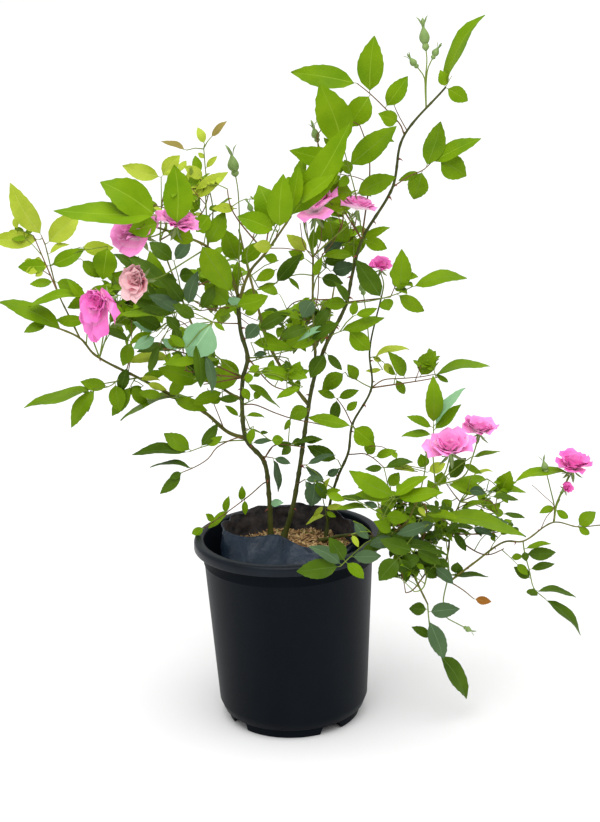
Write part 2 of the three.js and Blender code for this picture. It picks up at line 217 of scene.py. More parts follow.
# From under the middle, out round the boss, foot, wall and lip, then back down inside.
pot_profile = [
    (0, 0), (BOSS_RADIUS, 0), (BOSS_RADIUS + 0.005, FOOT_HEIGHT),
    (ring_inner - 0.003, FOOT_HEIGHT), (ring_inner, 0.0008), (ring_inner + 0.0008, 0),
    (FOOT_RADIUS - 0.0008, 0), (FOOT_RADIUS, 0.0008), (FOOT_RADIUS + 0.0004, FOOT_HEIGHT),
    (HEEL_RADIUS - 0.0052, 0.0108), (HEEL_RADIUS - 0.0040, 0.0118), (HEEL_RADIUS, HEEL_HEIGHT),
    (wall_radius(BEAD_HEIGHT - BEAD_RISE), BEAD_HEIGHT - BEAD_RISE),
    (wall_radius(BEAD_HEIGHT) + BEAD_PROUD, BEAD_HEIGHT - BEAD_FLAT),
    (wall_radius(BEAD_HEIGHT) + BEAD_PROUD, BEAD_HEIGHT + BEAD_FLAT),
    (wall_radius(BEAD_HEIGHT + BEAD_RISE), BEAD_HEIGHT + BEAD_RISE),
    (SHOULDER_RADIUS, POT_HEIGHT - 2 * POT_WALL),
    (LIP_RADIUS - 0.0026, POT_HEIGHT - 2 * POT_WALL), (LIP_RADIUS - 0.0018, POT_HEIGHT - 0.0048),
    (LIP_RADIUS - 0.0018, lip_under + 0.0004), (LIP_RADIUS - 0.0014, lip_under),
    (LIP_RADIUS - 0.0004, lip_under), (LIP_RADIUS, lip_under + 0.0006),
    (LIP_RADIUS - 0.0002, POT_HEIGHT - 0.0032), (LIP_RADIUS - 0.0008, POT_HEIGHT - 0.0014),
    (LIP_RADIUS - 0.0024, POT_HEIGHT - 0.0003), (LIP_RADIUS - 0.0042, POT_HEIGHT),
    (MOUTH_RADIUS + 0.0024, POT_HEIGHT), (MOUTH_RADIUS + 0.0008, POT_HEIGHT - 0.0006),
    (MOUTH_RADIUS, POT_HEIGHT - POT_WALL),
    (HEEL_RADIUS - POT_WALL, HEEL_HEIGHT + POT_WALL), (HEEL_RADIUS - 0.0064, 0.015),
    (FOOT_RADIUS - POT_WALL, 0.011), (FOOT_RADIUS - POT_WALL, POT_WALL),
    (ring_inner + POT_WALL, POT_WALL), (ring_inner - 0.002, 0.011),
    (BOSS_RADIUS + 0.003, 0.011), (BOSS_RADIUS - 0.001, POT_WALL), (0, POT_WALL),
]
pot_bm = bmesh.new()
turn_profile(pot_bm, pot_profile, POT_STEPS)
# Each notch lifts the foot ring's underside up to the floor of the pot.
for vert in pot_bm.verts:
    angle = math.degrees(math.atan2(vert.co.y, vert.co.x))
    radius = math.hypot(vert.co.x, vert.co.y)
    if ring_inner - 0.001 < radius < FOOT_RADIUS + 0.001 and vert.co.z < 0.005:
        off = (angle - NOTCH_TURN + NOTCH_STEP / 2) % NOTCH_STEP - NOTCH_STEP / 2
        if abs(radius * math.radians(off)) < NOTCH_WIDTH / 2:
            vert.co.z = FOOT_HEIGHT - NOTCH_GAP + (NOTCH_SKIN if vert.co.z > NOTCH_GAP else 0)
for edge in pot_bm.edges:
    edge.smooth = edge.calc_face_angle(0) < SHARP_FOLD
# The outer lip's faces take the second finish, whose lighter blue-grey tone is a painted highlight along
# the lip.
for face in pot_bm.faces:
    middle = face.calc_center_median()
    outside = math.hypot(middle.x, middle.y) > MOUTH_RADIUS
    face.material_index = 1 if middle.z > lip_under - 0.001 and outside else 0
pot_plastic = surface("pot_plastic", "0b0f14", "11161c", 0.05, 0.42, 0.15, 0.0012, 0.6,
                      stretch=(1, 1, 0.35), shine=0.035)
# The lip's lighter blue-grey tones are painted highlight; its higher shine is real gloss.
lip_plastic_painted_highlight = surface("lip_plastic_painted_highlight", "0b1016", "151d26", 0.03, 0.36, 0.15, 0.0012, 0.6, shine=0.14)
pot_mesh = mesh_from("nursery_pot", pot_bm, pot_plastic, lip_plastic_painted_highlight)
piece_from("nursery_pot", pot_mesh, "pot", "pot")


# Grow bag: a tube of thin dark polythene film that lines the pot. Its back stands up over
# the husk, dusty inside, and its front has slumped inwards in soft folds.
BAG_FOOT_RADIUS, BAG_MOUTH_RADIUS, BAG_FILM = 0.068, 0.072, 0.0007
BAG_BOTTOM, BAG_BACK_HEIGHT = 0.0113, 0.213
BAG_SLUMP, BAG_SLUMP_TURN, BAG_SLUMP_SPREAD = 0.044, -112, 42
BAG_DROP, BAG_DROP_TURN, BAG_DROP_SPREAD = 0.013, -26, 45
HUSK_HEIGHT = 0.185
FOLD_DEPTH, CREASE_DEPTH, FOLD_SHRINK, FOLD_LIFT = 0.0042, 0.0035, 0.001, 0.003
DENT, DENT_REACH = 0.0012, 0.07
BAG_STEPS = 180
RISE_UNIT = 0.01
BAG_RISES = [0.0, 0.12, 0.24, 0.36, 0.48, 0.6, 0.7, 0.8, 0.88, 0.95, 1.0]


def bag_spot(angle, rise):
    """A point of the film at an angle in degrees and a share of its height over the husk."""
    off = (angle - BAG_SLUMP_TURN + 180) % 360 - 180
    slump = math.exp(-((off / BAG_SLUMP_SPREAD) ** 2))
    aside = (angle - BAG_DROP_TURN + 180) % 360 - 180
    height = HUSK_HEIGHT + 0.001 + (BAG_BACK_HEIGHT - HUSK_HEIGHT - 0.001) * rise
    height -= BAG_DROP * rise * math.exp(-((aside / BAG_DROP_SPREAD) ** 2))
    turn = math.radians(angle)
    spot = Vector((math.cos(turn), math.sin(turn), rise * 0.6))
    folds = noise.noise(spot * 3.1 + Vector((4, 1, 7))) + 0.55 * noise.noise(spot * 7.7)
    crease = abs(noise.noise(Vector((turn * 5.5, rise * 1.4, 3.3)))) - 0.2
    radius = BAG_MOUTH_RADIUS - BAG_SLUMP * slump * rise ** 1.15
    radius -= rise * (FOLD_DEPTH * folds + CREASE_DEPTH * crease + FOLD_SHRINK)
    height -= rise * FOLD_LIFT * (folds + 0.3)
    return Vector((radius * math.cos(turn), radius * math.sin(turn), height))


bag_bm = bmesh.new()
bag_profile = [(0, BAG_BOTTOM), (BAG_FOOT_RADIUS - 0.005, BAG_BOTTOM),
               (BAG_FOOT_RADIUS, BAG_BOTTOM + 0.005), (BAG_FOOT_RADIUS + 0.002, 0.1)]
bag_profile += [(BAG_MOUTH_RADIUS, HUSK_HEIGHT + rise * RISE_UNIT) for rise in BAG_RISES]
turn_profile(bag_bm, bag_profile, BAG_STEPS)
for vert in bag_bm.verts:
    turn = math.atan2(vert.co.y, vert.co.x)
    if vert.co.z > HUSK_HEIGHT - 1e-6:
        vert.co = bag_spot(math.degrees(turn), (vert.co.z - HUSK_HEIGHT) / RISE_UNIT)
    elif vert.co.z > 0.05:
        dent = DENT * noise.noise(Vector((math.cos(turn) * 4, math.sin(turn) * 4, 2)))
        vert.co.x *= 1 - abs(dent) / DENT_REACH
        vert.co.y *= 1 - abs(dent) / DENT_REACH
film = surface("grow_bag_film", "121a24", "243140", 0.03, 0.34, 0.25, 0.006, 0.6, shine=0.2)
film_inside = surface("grow_bag_dusty_film", "1c1e23", "565150", 0.012, 0.6, 0.3, 0.003, 0.4,
                      shine=0.15)
bag_mesh = mesh_from("grow_bag", bag_bm, film, film_inside)
bag = piece_from("grow_bag_film", bag_mesh, "grow_bag", "grow_bag")
bag_wall = bag.modifiers.new("film_thickness", "SOLIDIFY")
bag_wall.thickness = BAG_FILM
bag_wall.offset = -1
bag_wall.material_offset = 1
bag_wall.material_offset_rim = 0


# Husk: coconut chips and fibre fill the bag to just under its front edge, heaped a little
# round the canes, with a few tufts of moss.
HUSK_REACH = BAG_MOUTH_RADIUS - 0.0035
HEAP_ACROSS, HEAP_DEEP, HEAP_HEIGHT, HEAP_SPREAD = 0.015, 0.03, 0.0026, 0.0012
CHIPS, CHIP_LENGTH, CHIP_THICK, CHIP_TILT = 1500, (0.0022, 0.007), (0.0005, 0.0014), 0.42
FIBRES, FIBRE_LENGTH, FIBRE_WIDTH, FIBRE_THICK, FIBRE_TILT = 260, (0.008, 0.018), 0.0006, 0.0005, 0.12
CHIP_TONES = {"pale": ("b0905e", "c9ae7e"), "tan": ("8a6a40", "a58252"), "dark": ("55391f", "73522f")}
CHIP_SHARES = (3, 4, 3)
MOSS, MOSS_SPREAD = 150, 0.0045
MOSS_SPOTS = [(0.052, -0.004), (0.058, 0.014), (0.044, -0.016), (-0.03, 0.02), (0.02, 0.052),
              (-0.01, 0.056)]
husk_dice = random.Random(11)


def husk_top(x, y):
    """Height of the heaped surface."""
    off = (x - HEAP_ACROSS) ** 2 + (y - HEAP_DEEP) ** 2
    heap = HEAP_HEIGHT * math.exp(-off / HEAP_SPREAD)
    return HUSK_HEIGHT - 0.0022 + heap + 0.0016 * noise.noise(Vector((x * 60, y * 60, 1)))


husk_bm = bmesh.new()
bmesh.ops.create_grid(husk_bm, x_segments=56, y_segments=56, size=HUSK_REACH)
for vert in husk_bm.verts:
    reach = max(abs(vert.co.x), abs(vert.co.y))
    if reach > 1e-6:
        vert.co *= reach / vert.co.length
    vert.co.z = husk_top(vert.co.x, vert.co.y)
rim = [edge for edge in husk_bm.edges if edge.is_boundary]
skirt = bmesh.ops.extrude_edge_only(husk_bm, edges=rim)["geom"]
for vert in [item for item in skirt if isinstance(item, bmesh.types.BMVert)]:
    vert.co = (vert.co.x * 0.93, vert.co.y * 0.93, BAG_BOTTOM + 0.004)
low_rim = [edge for edge in husk_bm.edges if edge.is_boundary]
bmesh.ops.contextual_create(husk_bm, geom=low_rim)
bmesh.ops.recalc_face_normals(husk_bm, faces=husk_bm.faces)
husk_brown = surface("husk_bed", "6b5334", "9c8058", 0.004, 0.95, 0.8, 0.002, 0.5)
piece_from("husk_bed", mesh_from("husk_bed", husk_bm, husk_brown), "husk", "husk")

chip_bm = bmesh.new()
for i in range(CHIPS + FIBRES):
    is_fibre = i >= CHIPS
    reach = HUSK_REACH * math.sqrt(husk_dice.random())
    turn = husk_dice.uniform(0, math.tau)
    spot = Vector((reach * math.cos(turn), reach * math.sin(turn), 0))
    limit = bag_spot(math.degrees(turn), 0.12).to_2d().length - 0.004
    if spot.length > limit:
        spot *= limit / spot.length
    spot.z = husk_top(spot.x, spot.y) + husk_dice.uniform(0.0002, 0.0016)
    length = husk_dice.uniform(*(FIBRE_LENGTH if is_fibre else CHIP_LENGTH))
    width = FIBRE_WIDTH if is_fibre else length * husk_dice.uniform(0.3, 0.75)
    thick = FIBRE_THICK if is_fibre else husk_dice.uniform(*CHIP_THICK)
    made = bmesh.ops.create_cube(chip_bm, size=1)["verts"]
    for vert in made:
        vert.co.x *= 1 - 0.4 * (vert.co.y > 0)
        vert.co += Vector([husk_dice.uniform(-0.12, 0.12) for _ in range(3)])
    tilt = FIBRE_TILT if is_fibre else CHIP_TILT
    turned = Matrix.Rotation(husk_dice.uniform(0, math.tau), 4, "Z")
    tipped = Matrix.Rotation(husk_dice.gauss(0, tilt), 4, "X")
    tipped = tipped @ Matrix.Rotation(husk_dice.gauss(0, tilt), 4, "Y")
    sized = Matrix.Diagonal((width, length, thick, 1))
    bmesh.ops.transform(chip_bm, verts=made, matrix=Matrix.Translation(spot) @ turned @ tipped @ sized)
    kind = husk_dice.choices(range(len(CHIP_TONES)), CHIP_SHARES)[0]
    for face in {face for vert in made for face in vert.link_faces}:
        face.material_index = kind
bmesh.ops.recalc_face_normals(chip_bm, faces=chip_bm.faces)
chip_finishes = [surface("husk_chip_" + kind, *tones, 0.006, 0.9, 0.4, 0.001)
                 for kind, tones in CHIP_TONES.items()]
piece_from("husk_chips", mesh_from("husk_chips", chip_bm, *chip_finishes, smooth=False), "husk")

moss_bm = bmesh.new()
for i in range(MOSS):
    tuft = husk_dice.choice(MOSS_SPOTS)
    x, y = (middle + husk_dice.gauss(0, MOSS_SPREAD) for middle in tuft)
    made = bmesh.ops.create_cone(moss_bm, cap_ends=True, segments=4, radius1=0.0005, radius2=0.0001,
                                 depth=husk_dice.uniform(0.002, 0.005))["verts"]
    lean = Matrix.Rotation(husk_dice.gauss(0, 0.5), 4, "X")
    lean = lean @ Matrix.Rotation(husk_dice.gauss(0, 0.5), 4, "Y")
    bmesh.ops.transform(moss_bm, verts=made,
                        matrix=Matrix.Translation((x, y, husk_top(x, y) + 0.0012)) @ lean)
moss_green = surface("moss_green", "5f7a22", "8ba336", 0.006, 0.9)
piece_from("moss_tufts", mesh_from("moss_tufts", moss_bm, moss_green), "husk")


# Canes and boughs: woody rose stems that grow out of the husk, dark green and brown low
# down and greener higher up. Their skin is ridged, with a knuckle wherever a leaf or twig
# grows, and the canes carry hooked thorns.
# In millimetres, foot is where a cane leaves the husk, thick holds a limb's radii at its foot
# and its end, fork is where a bough is seen to leave the limb that it is on, and way lists the
# places that it runs through: across and up as seen from the front, and how far back.
LIMBS = {
    "cane_left": dict(foot=(-19, 38), thick=(2.7, 2.2), way=[
        (-18, 247, 34), (-22, 285, 26), (-39, 309, 20), (-42, 347, 12), (-40, 374, 5),
        (-34, 397, 0), (-40, 426, -5), (-41, 463, -10)]),
    "cane_tall": dict(foot=(-6, 28), thick=(2.8, 1.1), way=[
        (5, 227, 26), (14, 268, 22), (26, 337, 18), (34, 373, 14), (47, 407, 10),
        (69, 449, 6), (76, 479, 4), (87, 515, 2), (119, 567, 0), (130, 615, -4), (173, 663, -10)]),
    "cane_right": dict(foot=(41, 32), thick=(1.8, 0.9), way=[
        (47, 239, 40), (55, 264, 45), (67, 291, 50), (72, 321, 60), (93, 360, 72),
        (92, 400, 84), (106, 458, 98)]),
    "cane_low": dict(foot=(34, 23), thick=(2, 1.4), way=[
        (66, 199, -25), (94, 194, -55), (121, 173, -68), (149, 156, -68), (172, 142, -62)]),
    "bough_left_long": dict(on="cane_left", fork=(-40, 310), thick=(2.2, 1.0), way=[
        (-58, 318, 28), (-81, 340, 36), (-111, 358, 42), (-148, 380, 44), (-191, 406, 42),
        (-205, 424, 40), (-237, 440, 34)]),
    "bough_left_shoot": dict(on="bough_left_long", fork=(-205, 424), thick=(1, 0.6), way=[
        (-215, 449, 46), (-224, 473, 54), (-233, 522, 66)]),
    "bough_left_top": dict(on="cane_left", fork=(-41, 463), thick=(1.9, 1.0), way=[
        (-50, 491, -22), (-69, 513, -40), (-92, 525, -62), (-122, 536, -92)]),
    "bough_mid": dict(on="cane_left", fork=(-41, 455), thick=(1.8, 1.0), way=[
        (-28, 486, -26), (-11, 505, -46), (16, 541, -80)]),
    "bough_left_inner": dict(on="cane_left", fork=(-43, 352), thick=(1.7, 0.9), way=[
        (-62, 367, 34), (-78, 402, 58), (-103, 476, 92), (-117, 522, 110)]),
    "bough_cross": dict(on="cane_tall", fork=(28, 344), thick=(2.1, 1.1), way=[
        (7, 374, 42), (-10, 407, 66), (-25, 468, 94), (-37, 530, 122)]),
    "bough_bloom": dict(on="cane_tall", fork=(34, 373), thick=(1.6, 1.1), way=[
        (36, 403, 4), (35, 445, -2), (37, 500, -6)]),
    "bough_low_bloom": dict(on="cane_low", fork=(98, 191), thick=(1.4, 0.8), way=[
        (125, 209, -66), (139, 234, -74), (158, 251, -84)]),
    "bough_low_up": dict(on="cane_low", fork=(164, 147), thick=(1.2, 0.8), way=[
        (171, 178, -38), (174, 206, -10), (184, 232, 18)]),
    "bough_far": dict(on="cane_low", fork=(172, 142), thick=(1.3, 0.6), way=[
        (198, 162, -62), (231, 185, -60), (251, 185, -58), (283, 205, -54), (309, 199, -50),
        (333, 200, -46)]),
    "bough_weep": dict(on="cane_low", fork=(128, 168), thick=(1.4, 0.9), way=[
        (136, 145, -78), (148, 117, -82)]),
    "bough_back": dict(on="cane_tall", fork=(47, 407), thick=(1.2, 0.8), way=[
        (50, 425, 52), (55, 455, 104), (62, 490, 150)]),
}
FOOT_LEVEL = 0.1853
LIMB_STEP, LIMB_SIDES, LIMB_SLIM = 0.0026, 12, 0.95
FLARE, FLARE_REACH = 0.6, 0.012
KNUCKLE_GAP, KNUCKLE_REACH, KNUCKLE_PROUD = 0.021, 0.0022, 0.2
# Where the eye is, to the millimetre. Places that are given as seen start from it.
EYE_ACROSS, EYE_UP, EYE_AWAY = 18, 760, 1543
CURVE_STEPS, NEAREST_STEPS = 12, 400


def place(across, up, behind):
    """The real point, in metres, of a place given in millimetres as it is seen from the front."""
    away = (EYE_AWAY + behind) / EYE_AWAY
    return Vector((EYE_ACROSS + (across - EYE_ACROSS) * away, behind,
                   EYE_UP + (up - EYE_UP) * away)) / 1000


def seen(point):
    """Where a real point is seen from the front, in millimetres across and up."""
    away = EYE_AWAY / (EYE_AWAY + point[1] * 1000)
    return (EYE_ACROSS + (point[0] * 1000 - EYE_ACROSS) * away,
            EYE_UP + (point[2] * 1000 - EYE_UP) * away)


def smooth_path(points, step):
    """Evenly spaced points on one smooth curve through the given ones."""
    points = [Vector(point) for point in points]
    ends = [points[0] * 2 - points[1]] + points + [points[-1] * 2 - points[-2]]
    fine = [points[0]]
    for a, b, c, d in zip(ends, ends[1:], ends[2:], ends[3:]):
        ab, bc, cd = (max((q - p).length, 1e-6) ** 0.5 for p, q in ((a, b), (b, c), (c, d)))
        leave = ((b - a) / ab - (c - a) / (ab + bc) + (c - b) / bc) * bc
        arrive = ((c - b) / bc - (d - b) / (bc + cd) + (d - c) / cd) * bc
        for i in range(1, CURVE_STEPS + 1):
            t = i / CURVE_STEPS
            fine.append((2 * t ** 3 - 3 * t ** 2 + 1) * b + (t ** 3 - 2 * t ** 2 + t) * leave
                        + (3 * t ** 2 - 2 * t ** 3) * c + (t ** 3 - t ** 2) * arrive)
    fine = np.array([tuple(point) for point in fine])
    run = np.concatenate([[0], np.cumsum(np.linalg.norm(np.diff(fine, axis=0), axis=1))])
    count = max(2, round(run[-1] / step))
    marks = np.linspace(0, run[-1], count + 1)
    return np.stack([np.interp(marks, run, fine[:, axis]) for axis in range(3)], axis=1)


def along(path, share):
    """The point at a share of a path's length."""
    spot = share * (len(path) - 1)
    low = min(int(spot), len(path) - 2)
    return Vector(path[low] + (path[low + 1] - path[low]) * (spot - low))


def heading(path, share):
    """The way a path runs at a share of its length."""
    low = min(max(int(share * (len(path) - 1)), 0), len(path) - 2)
    return Vector(path[low + 1] - path[low]).normalized()


def nearest(path, across, up):
    """The point of a path that is seen closest to a place."""
    points = [along(path, share) for share in np.linspace(0, 1, NEAREST_STEPS)]
    return min(points, key=lambda point: math.dist(seen(point), (across, up)))


def draw_stem(bm, path, radii, sides, relief=None):
    """Adds a round stem to bm: a strip of faces rolled up round the path, closed at both ends."""
    path = [Vector(path[0])] + [Vector(point) for point in path] + [Vector(path[-1])]
    radii = [0.0] + list(radii) + [0.0]
    count = len(path)
    lines = [(path[min(i + 2, count - 1)] - path[max(i - 2, 0)]).normalized() for i in range(count)]
    across = lines[0].orthogonal().normalized()
    frames = []
    for line in lines:
        across = (across - line * across.dot(line)).normalized()
        frames.append((across, line.cross(across)))
    for vert in bmesh.ops.create_grid(bm, x_segments=sides, y_segments=count - 1, size=0.5)["verts"]:
        ring = round((vert.co.y + 0.5) * (count - 1))
        side = round((vert.co.x + 0.5) * sides) % sides
        turn = math.tau * side / sides
        radius = radii[ring] * (relief(path[ring], turn) if relief else 1)
        first, second = frames[ring]
        vert.co = path[ring] + (first * math.cos(turn) + second * math.sin(turn)) * radius


def close_stems(bm):
    """Merges each stem's seam and ends, and turns its faces outwards."""
    bmesh.ops.remove_doubles(bm, verts=bm.verts, dist=2e-6)
    bmesh.ops.recalc_face_normals(bm, faces=bm.faces)


paths = {}
for name, limb in LIMBS.items():
    if "foot" in limb:
        start = Vector((limb["foot"][0] / 1000, limb["foot"][1] / 1000, FOOT_LEVEL))
    else:
        start = nearest(paths[limb["on"]], *limb["fork"])
    paths[name] = smooth_path([start] + [place(*spot) for spot in limb["way"]], LIMB_STEP)


def bark_relief(point, turn):
    """Fine ridges that run along a stem, broken by a slow unevenness."""
    run = point.z * 60 + point.x * 40
    ridge = noise.noise(Vector((math.cos(turn) * 2.2, math.sin(turn) * 2.2, run)))
    return 1 + 0.09 * ridge + 0.05 * noise.noise(point * 420)


def limb_radii(name):
    """The radii along a limb, with a flare at its foot and a knuckle at each old leaf's place."""
    limb, path = LIMBS[name], paths[name]
    length = (len(path) - 1) * LIMB_STEP
    dice = random.Random(name)
    knuckles = []
    spot = dice.uniform(0.3, 1) * KNUCKLE_GAP
    while spot < length:
        knuckles.append(spot)
        spot += KNUCKLE_GAP * dice.uniform(0.75, 1.35)
    radii = []
    for i in range(len(path)):
        share = i / (len(path) - 1)
        run = share * length
        flare = FLARE * math.exp(-run / FLARE_REACH) if "foot" in limb else 0
        swell = KNUCKLE_PROUD * sum(math.exp(-((run - k) / KNUCKLE_REACH) ** 2) for k in knuckles)
        thick = limb["thick"][0] + (limb["thick"][1] - limb["thick"][0]) * share
        radii.append(thick / 1000 * (LIMB_SLIM + flare + swell))
    return radii


cane_bark = surface("cane_bark", "2b3813", "575a28", 0.02, 0.6, 0.6, 0.0012, 0.6, (1, 1, 0.4), 0.15)
bough_bark = surface("bough_bark", "4a4d1e", "76722f", 0.02, 0.6, 0.4, 0.001, 0.7, (1, 1, 0.5), 0.15)
for kind, finish in (("cane", cane_bark), ("bough", bough_bark)):
    limb_bm = bmesh.new()
    names = [name for name in LIMBS if name.startswith(kind)]
    for name in names:
        draw_stem(limb_bm, paths[name], limb_radii(name), LIMB_SIDES, bark_relief)
    close_stems(limb_bm)
    piece_from(kind + "s", mesh_from(kind + "s", limb_bm, finish), "bark", *names)

# Thorns by limb: the shares of its length that they stand between, and their count.
THORNS = {"cane_left": (0.06, 0.95, 9), "cane_tall": (0.05, 0.92, 17), "cane_right": (0.1, 0.8, 6),
          "cane_low": (0.12, 0.9, 6), "bough_left_long": (0.1, 0.75, 6), "bough_far": (0.1, 0.7, 4)}
THORN_SIDES, THORN_LENGTH, BOUGH_THORN_SHARE = 6, (0.0032, 0.0052), 0.75
thorn_bm = bmesh.new()
thorn_dice = random.Random(5)
for name, (low, high, count) in THORNS.items():
    for i in range(count):
        share = low + (high - low) * (i + thorn_dice.uniform(0.1, 0.9)) / count
        line = heading(paths[name], share)
        turn = thorn_dice.choice([0, math.pi]) + thorn_dice.gauss(0, 0.7)
        out = Vector((math.cos(turn), -0.3 + math.sin(turn) * 0.7, 0))
        out = (out - line * out.dot(line)).normalized()
        thick = LIMBS[name]["thick"]
        root = along(paths[name], share) + out * (thick[0] + (thick[1] - thick[0]) * share) * 0.0008
        size = thorn_dice.uniform(*THORN_LENGTH)
        size *= 1 if name.startswith("cane") else BOUGH_THORN_SHARE
        hook = [root - line * 0.0002, root + out * size * 0.5 - line * size * 0.08,
                root + out * size - line * size * 0.42]
        draw_stem(thorn_bm, hook, [size * 0.3, size * 0.14, size * 0.02], THORN_SIDES)
close_stems(thorn_bm)
thorn_brown = surface("thorn_brown", "6e3324", "94523a", 0.004, 0.5, shine=0.2)
piece_from("thorns", mesh_from("thorns", thorn_bm, thorn_brown), "bark")


# Leaves: each is a thin stalk with a leaflet at its end and pairs of leaflets along it.
# A leaflet is a folded, toothed blade of two skins, dull and pale underneath, with a
# raised rib. Young leaves are yellow-green or red, and old ones dark. The dark tint is also
# painted shade on leaves that lie in shade, the pale blue-green tint is painted light on
# leaves lit from above, and the grey-blue tint is partly the leaves' own hue and partly
# painted sheen.
BLADE_ROWS, RIB_SHARE = 14, 0.04
LEAF_THICK = 0.00032
TOOTH, TOOTH_LEAN = 0.016, 0.35
PATH_STEP = 0.005
# Stalks: their sides, and the radii of each kind at its foot and at its end.
STALK_SIDES = 5
LEAF_STALK, SIDE_STALK, LEAFLET_STALK = (0.0008, 0.00055), (0.00062, 0.0005), (0.0004, 0.00028)


def two_skins(bm, under):
    """Doubles a flat template into two skins that share their rim. under holds the finish of
    the lower skin for each finish of the upper one. Returns the points (across, along and
    which skin), the faces, their finishes, and which points lie on the rim."""
    lower = bmesh.ops.duplicate(bm, geom=bm.verts[:] + bm.edges[:] + bm.faces[:])["geom"]
    for vert in [item for item in lower if isinstance(item, bmesh.types.BMVert)]:
        if not vert.is_boundary:
            vert.co.z = -1
    lower_faces = [item for item in lower if isinstance(item, bmesh.types.BMFace)]
    for face in lower_faces:
        face.material_index = under[face.material_index]
    bmesh.ops.reverse_faces(bm, faces=lower_faces)
    bmesh.ops.remove_doubles(bm, verts=bm.verts, dist=1e-4)
    bm.verts.index_update()
    points = np.array([tuple(vert.co) for vert in bm.verts])
    faces = np.array([[vert.index for vert in face.verts] for face in bm.faces])
    finishes = np.array([face.material_index for face in bm.faces])
    bm.free()
    rim = (np.abs(points[:, 0]) > 0.99) | (points[:, 1] < 0.01) | (points[:, 1] > 0.99)
    return points, faces, finishes, rim


def joined_mesh(name, copies, template, banded=True):
    """Joins copies of a template, each an array of its points. A banded one keeps the
    template's finishes, and its rims are sharp."""
    points, faces, finishes, rim = template
    mesh = bpy.data.meshes.new(name)
    corners = np.concatenate([faces + i * len(points) for i in range(len(copies))])
    mesh.from_pydata(np.concatenate(copies).tolist(), [], corners.tolist())
    mesh.shade_smooth()
    if banded:
        mesh.polygons.foreach_set("material_index", np.tile(finishes, len(copies)).astype(np.int32))
        pairs = np.zeros(len(mesh.edges) * 2, np.int32)
        mesh.edges.foreach_get("vertices", pairs)
        sharp = mesh.attributes.new("sharp_edge", "BOOLEAN", "EDGE")
        sharp.data.foreach_set("value", rim[pairs.reshape(-1, 2) % len(points)].all(axis=1))
    return mesh


# The leaflet's template has four points across in each row: its sides and its rib's sides.
blade_bm = bmesh.new()
bmesh.ops.create_grid(blade_bm, x_segments=3, y_segments=BLADE_ROWS, size=1)
for vert in blade_bm.verts:
    column = round((vert.co.x + 1) * 1.5)
    row = round((vert.co.y + 1) / 2 * BLADE_ROWS)
    vert.co = ((-1, -RIB_SHARE, RIB_SHARE, 1)[column], row / BLADE_ROWS, 0)
for face in blade_bm.faces:
    face.material_index = 1 if abs(face.calc_center_median().x) < RIB_SHARE else 0
# Its outline swells and tapers along it, and each second point of its sides is a tooth.
BLADE = two_skins(blade_bm, (2, 1))
blade_u, blade_v, blade_skin = BLADE[0].T
row = np.round(blade_v * BLADE_ROWS).astype(int)
outer = np.abs(blade_u) > 0.9
outline = np.sin(np.pi * np.clip(blade_v, 0, 1) ** 0.84) ** 0.72
outline = np.maximum(outline * (1 - 0.3 * blade_v ** 4), 0.03)
teeth = np.where(row % 2 == 1, 1 + TOOTH, 1 - TOOTH * 0.4)
forward = np.where((row % 2 == 1) & outer & (row < BLADE_ROWS - 1), TOOTH_LEAN / BLADE_ROWS, 0.0)
BLADE_ACROSS = np.where(outer, blade_u * outline * teeth,
                        blade_u * np.minimum(1, outline * 3) * (1 - 0.7 * blade_v))
BLADE_ALONG = blade_v + forward

foliage = {}
leaf_dice = random.Random(20)


def add_blade(tint, base, tip, width, facing, fold=None, bow=None):
    """Adds one leaflet from base to tip. facing is roughly where its upper side looks."""
    base, tip = Vector(base), Vector(tip)
    line = tip - base
    length = line.length
    line.normalize()
    up = facing - line * facing.dot(line)
    if up.length < 1e-4:
        up = line.orthogonal()
    up.normalize()
    side = line.cross(up)
    fold = leaf_dice.uniform(0.1, 0.42) if fold is None else fold
    bow = leaf_dice.uniform(0.02, 0.13) if bow is None else bow
    twist = leaf_dice.gauss(0, 0.22)
    sway = leaf_dice.gauss(0, 0.03)
    wave = leaf_dice.uniform(0, math.tau)
    x = BLADE_ACROSS * width / 2
    y = BLADE_ALONG * length
    z = (fold * np.abs(x) - fold * 0.9 * x ** 2 / max(width, 1e-4)
         + 0.05 * width * np.sin(BLADE_ALONG * 9 + wave) * np.abs(blade_u))
    turn = twist * (BLADE_ALONG - 0.3)
    x, z = x * np.cos(turn) - z * np.sin(turn), x * np.sin(turn) + z * np.cos(turn)
    z = z + bow * length * 4 * BLADE_ALONG * (1 - BLADE_ALONG) + blade_skin * LEAF_THICK
    x = x + sway * length * np.sin(math.pi * BLADE_ALONG)
    spots = (np.array(base) + np.outer(x, side) + np.outer(y, line) + np.outer(z, up))
    foliage.setdefault(tint, []).append(spots)


stalk_bms = {"green": bmesh.new(), "red": bmesh.new()}


def stalk_shade(dice, red_share):
    """Whether a stalk is flushed with red."""
    return "red" if dice.random() < red_share else "green"


def draw_stalk(path, thick, tip_thick, shade="green"):
    """Adds a stalk along a path. thick and tip_thick are its radii."""
    radii = [thick + (tip_thick - thick) * i / (len(path) - 1) for i in range(len(path))]
    draw_stem(stalk_bms[shade], path, radii, STALK_SIDES)


# A leaflet's usual width as a share of its length, and the most it can be, in metres.
USUAL_WIDTH, WIDEST = 0.38, 0.03


def seen_blade(tint, base, tip, width):
    """A leaflet whose seen length and width are given: a narrow one is turned on its side."""
    length = (tip - base).length
    real = max(width / 1000, min(length * USUAL_WIDTH, WIDEST))
    turn = math.acos(min(1, width / 1000 / real)) * 0.92 + abs(leaf_dice.gauss(0, 0.12))
    line = (tip - base).normalized()
    view = (EYE - base).normalized()
    view = (view - line * view.dot(line)).normalized()
    turned = [Quaternion(line, angle) @ view for angle in (turn, -turn)]
    facing = max(turned, key=lambda item: item.z + leaf_dice.uniform(-0.1, 0.1))
    add_blade(tint, base, tip, real, facing)


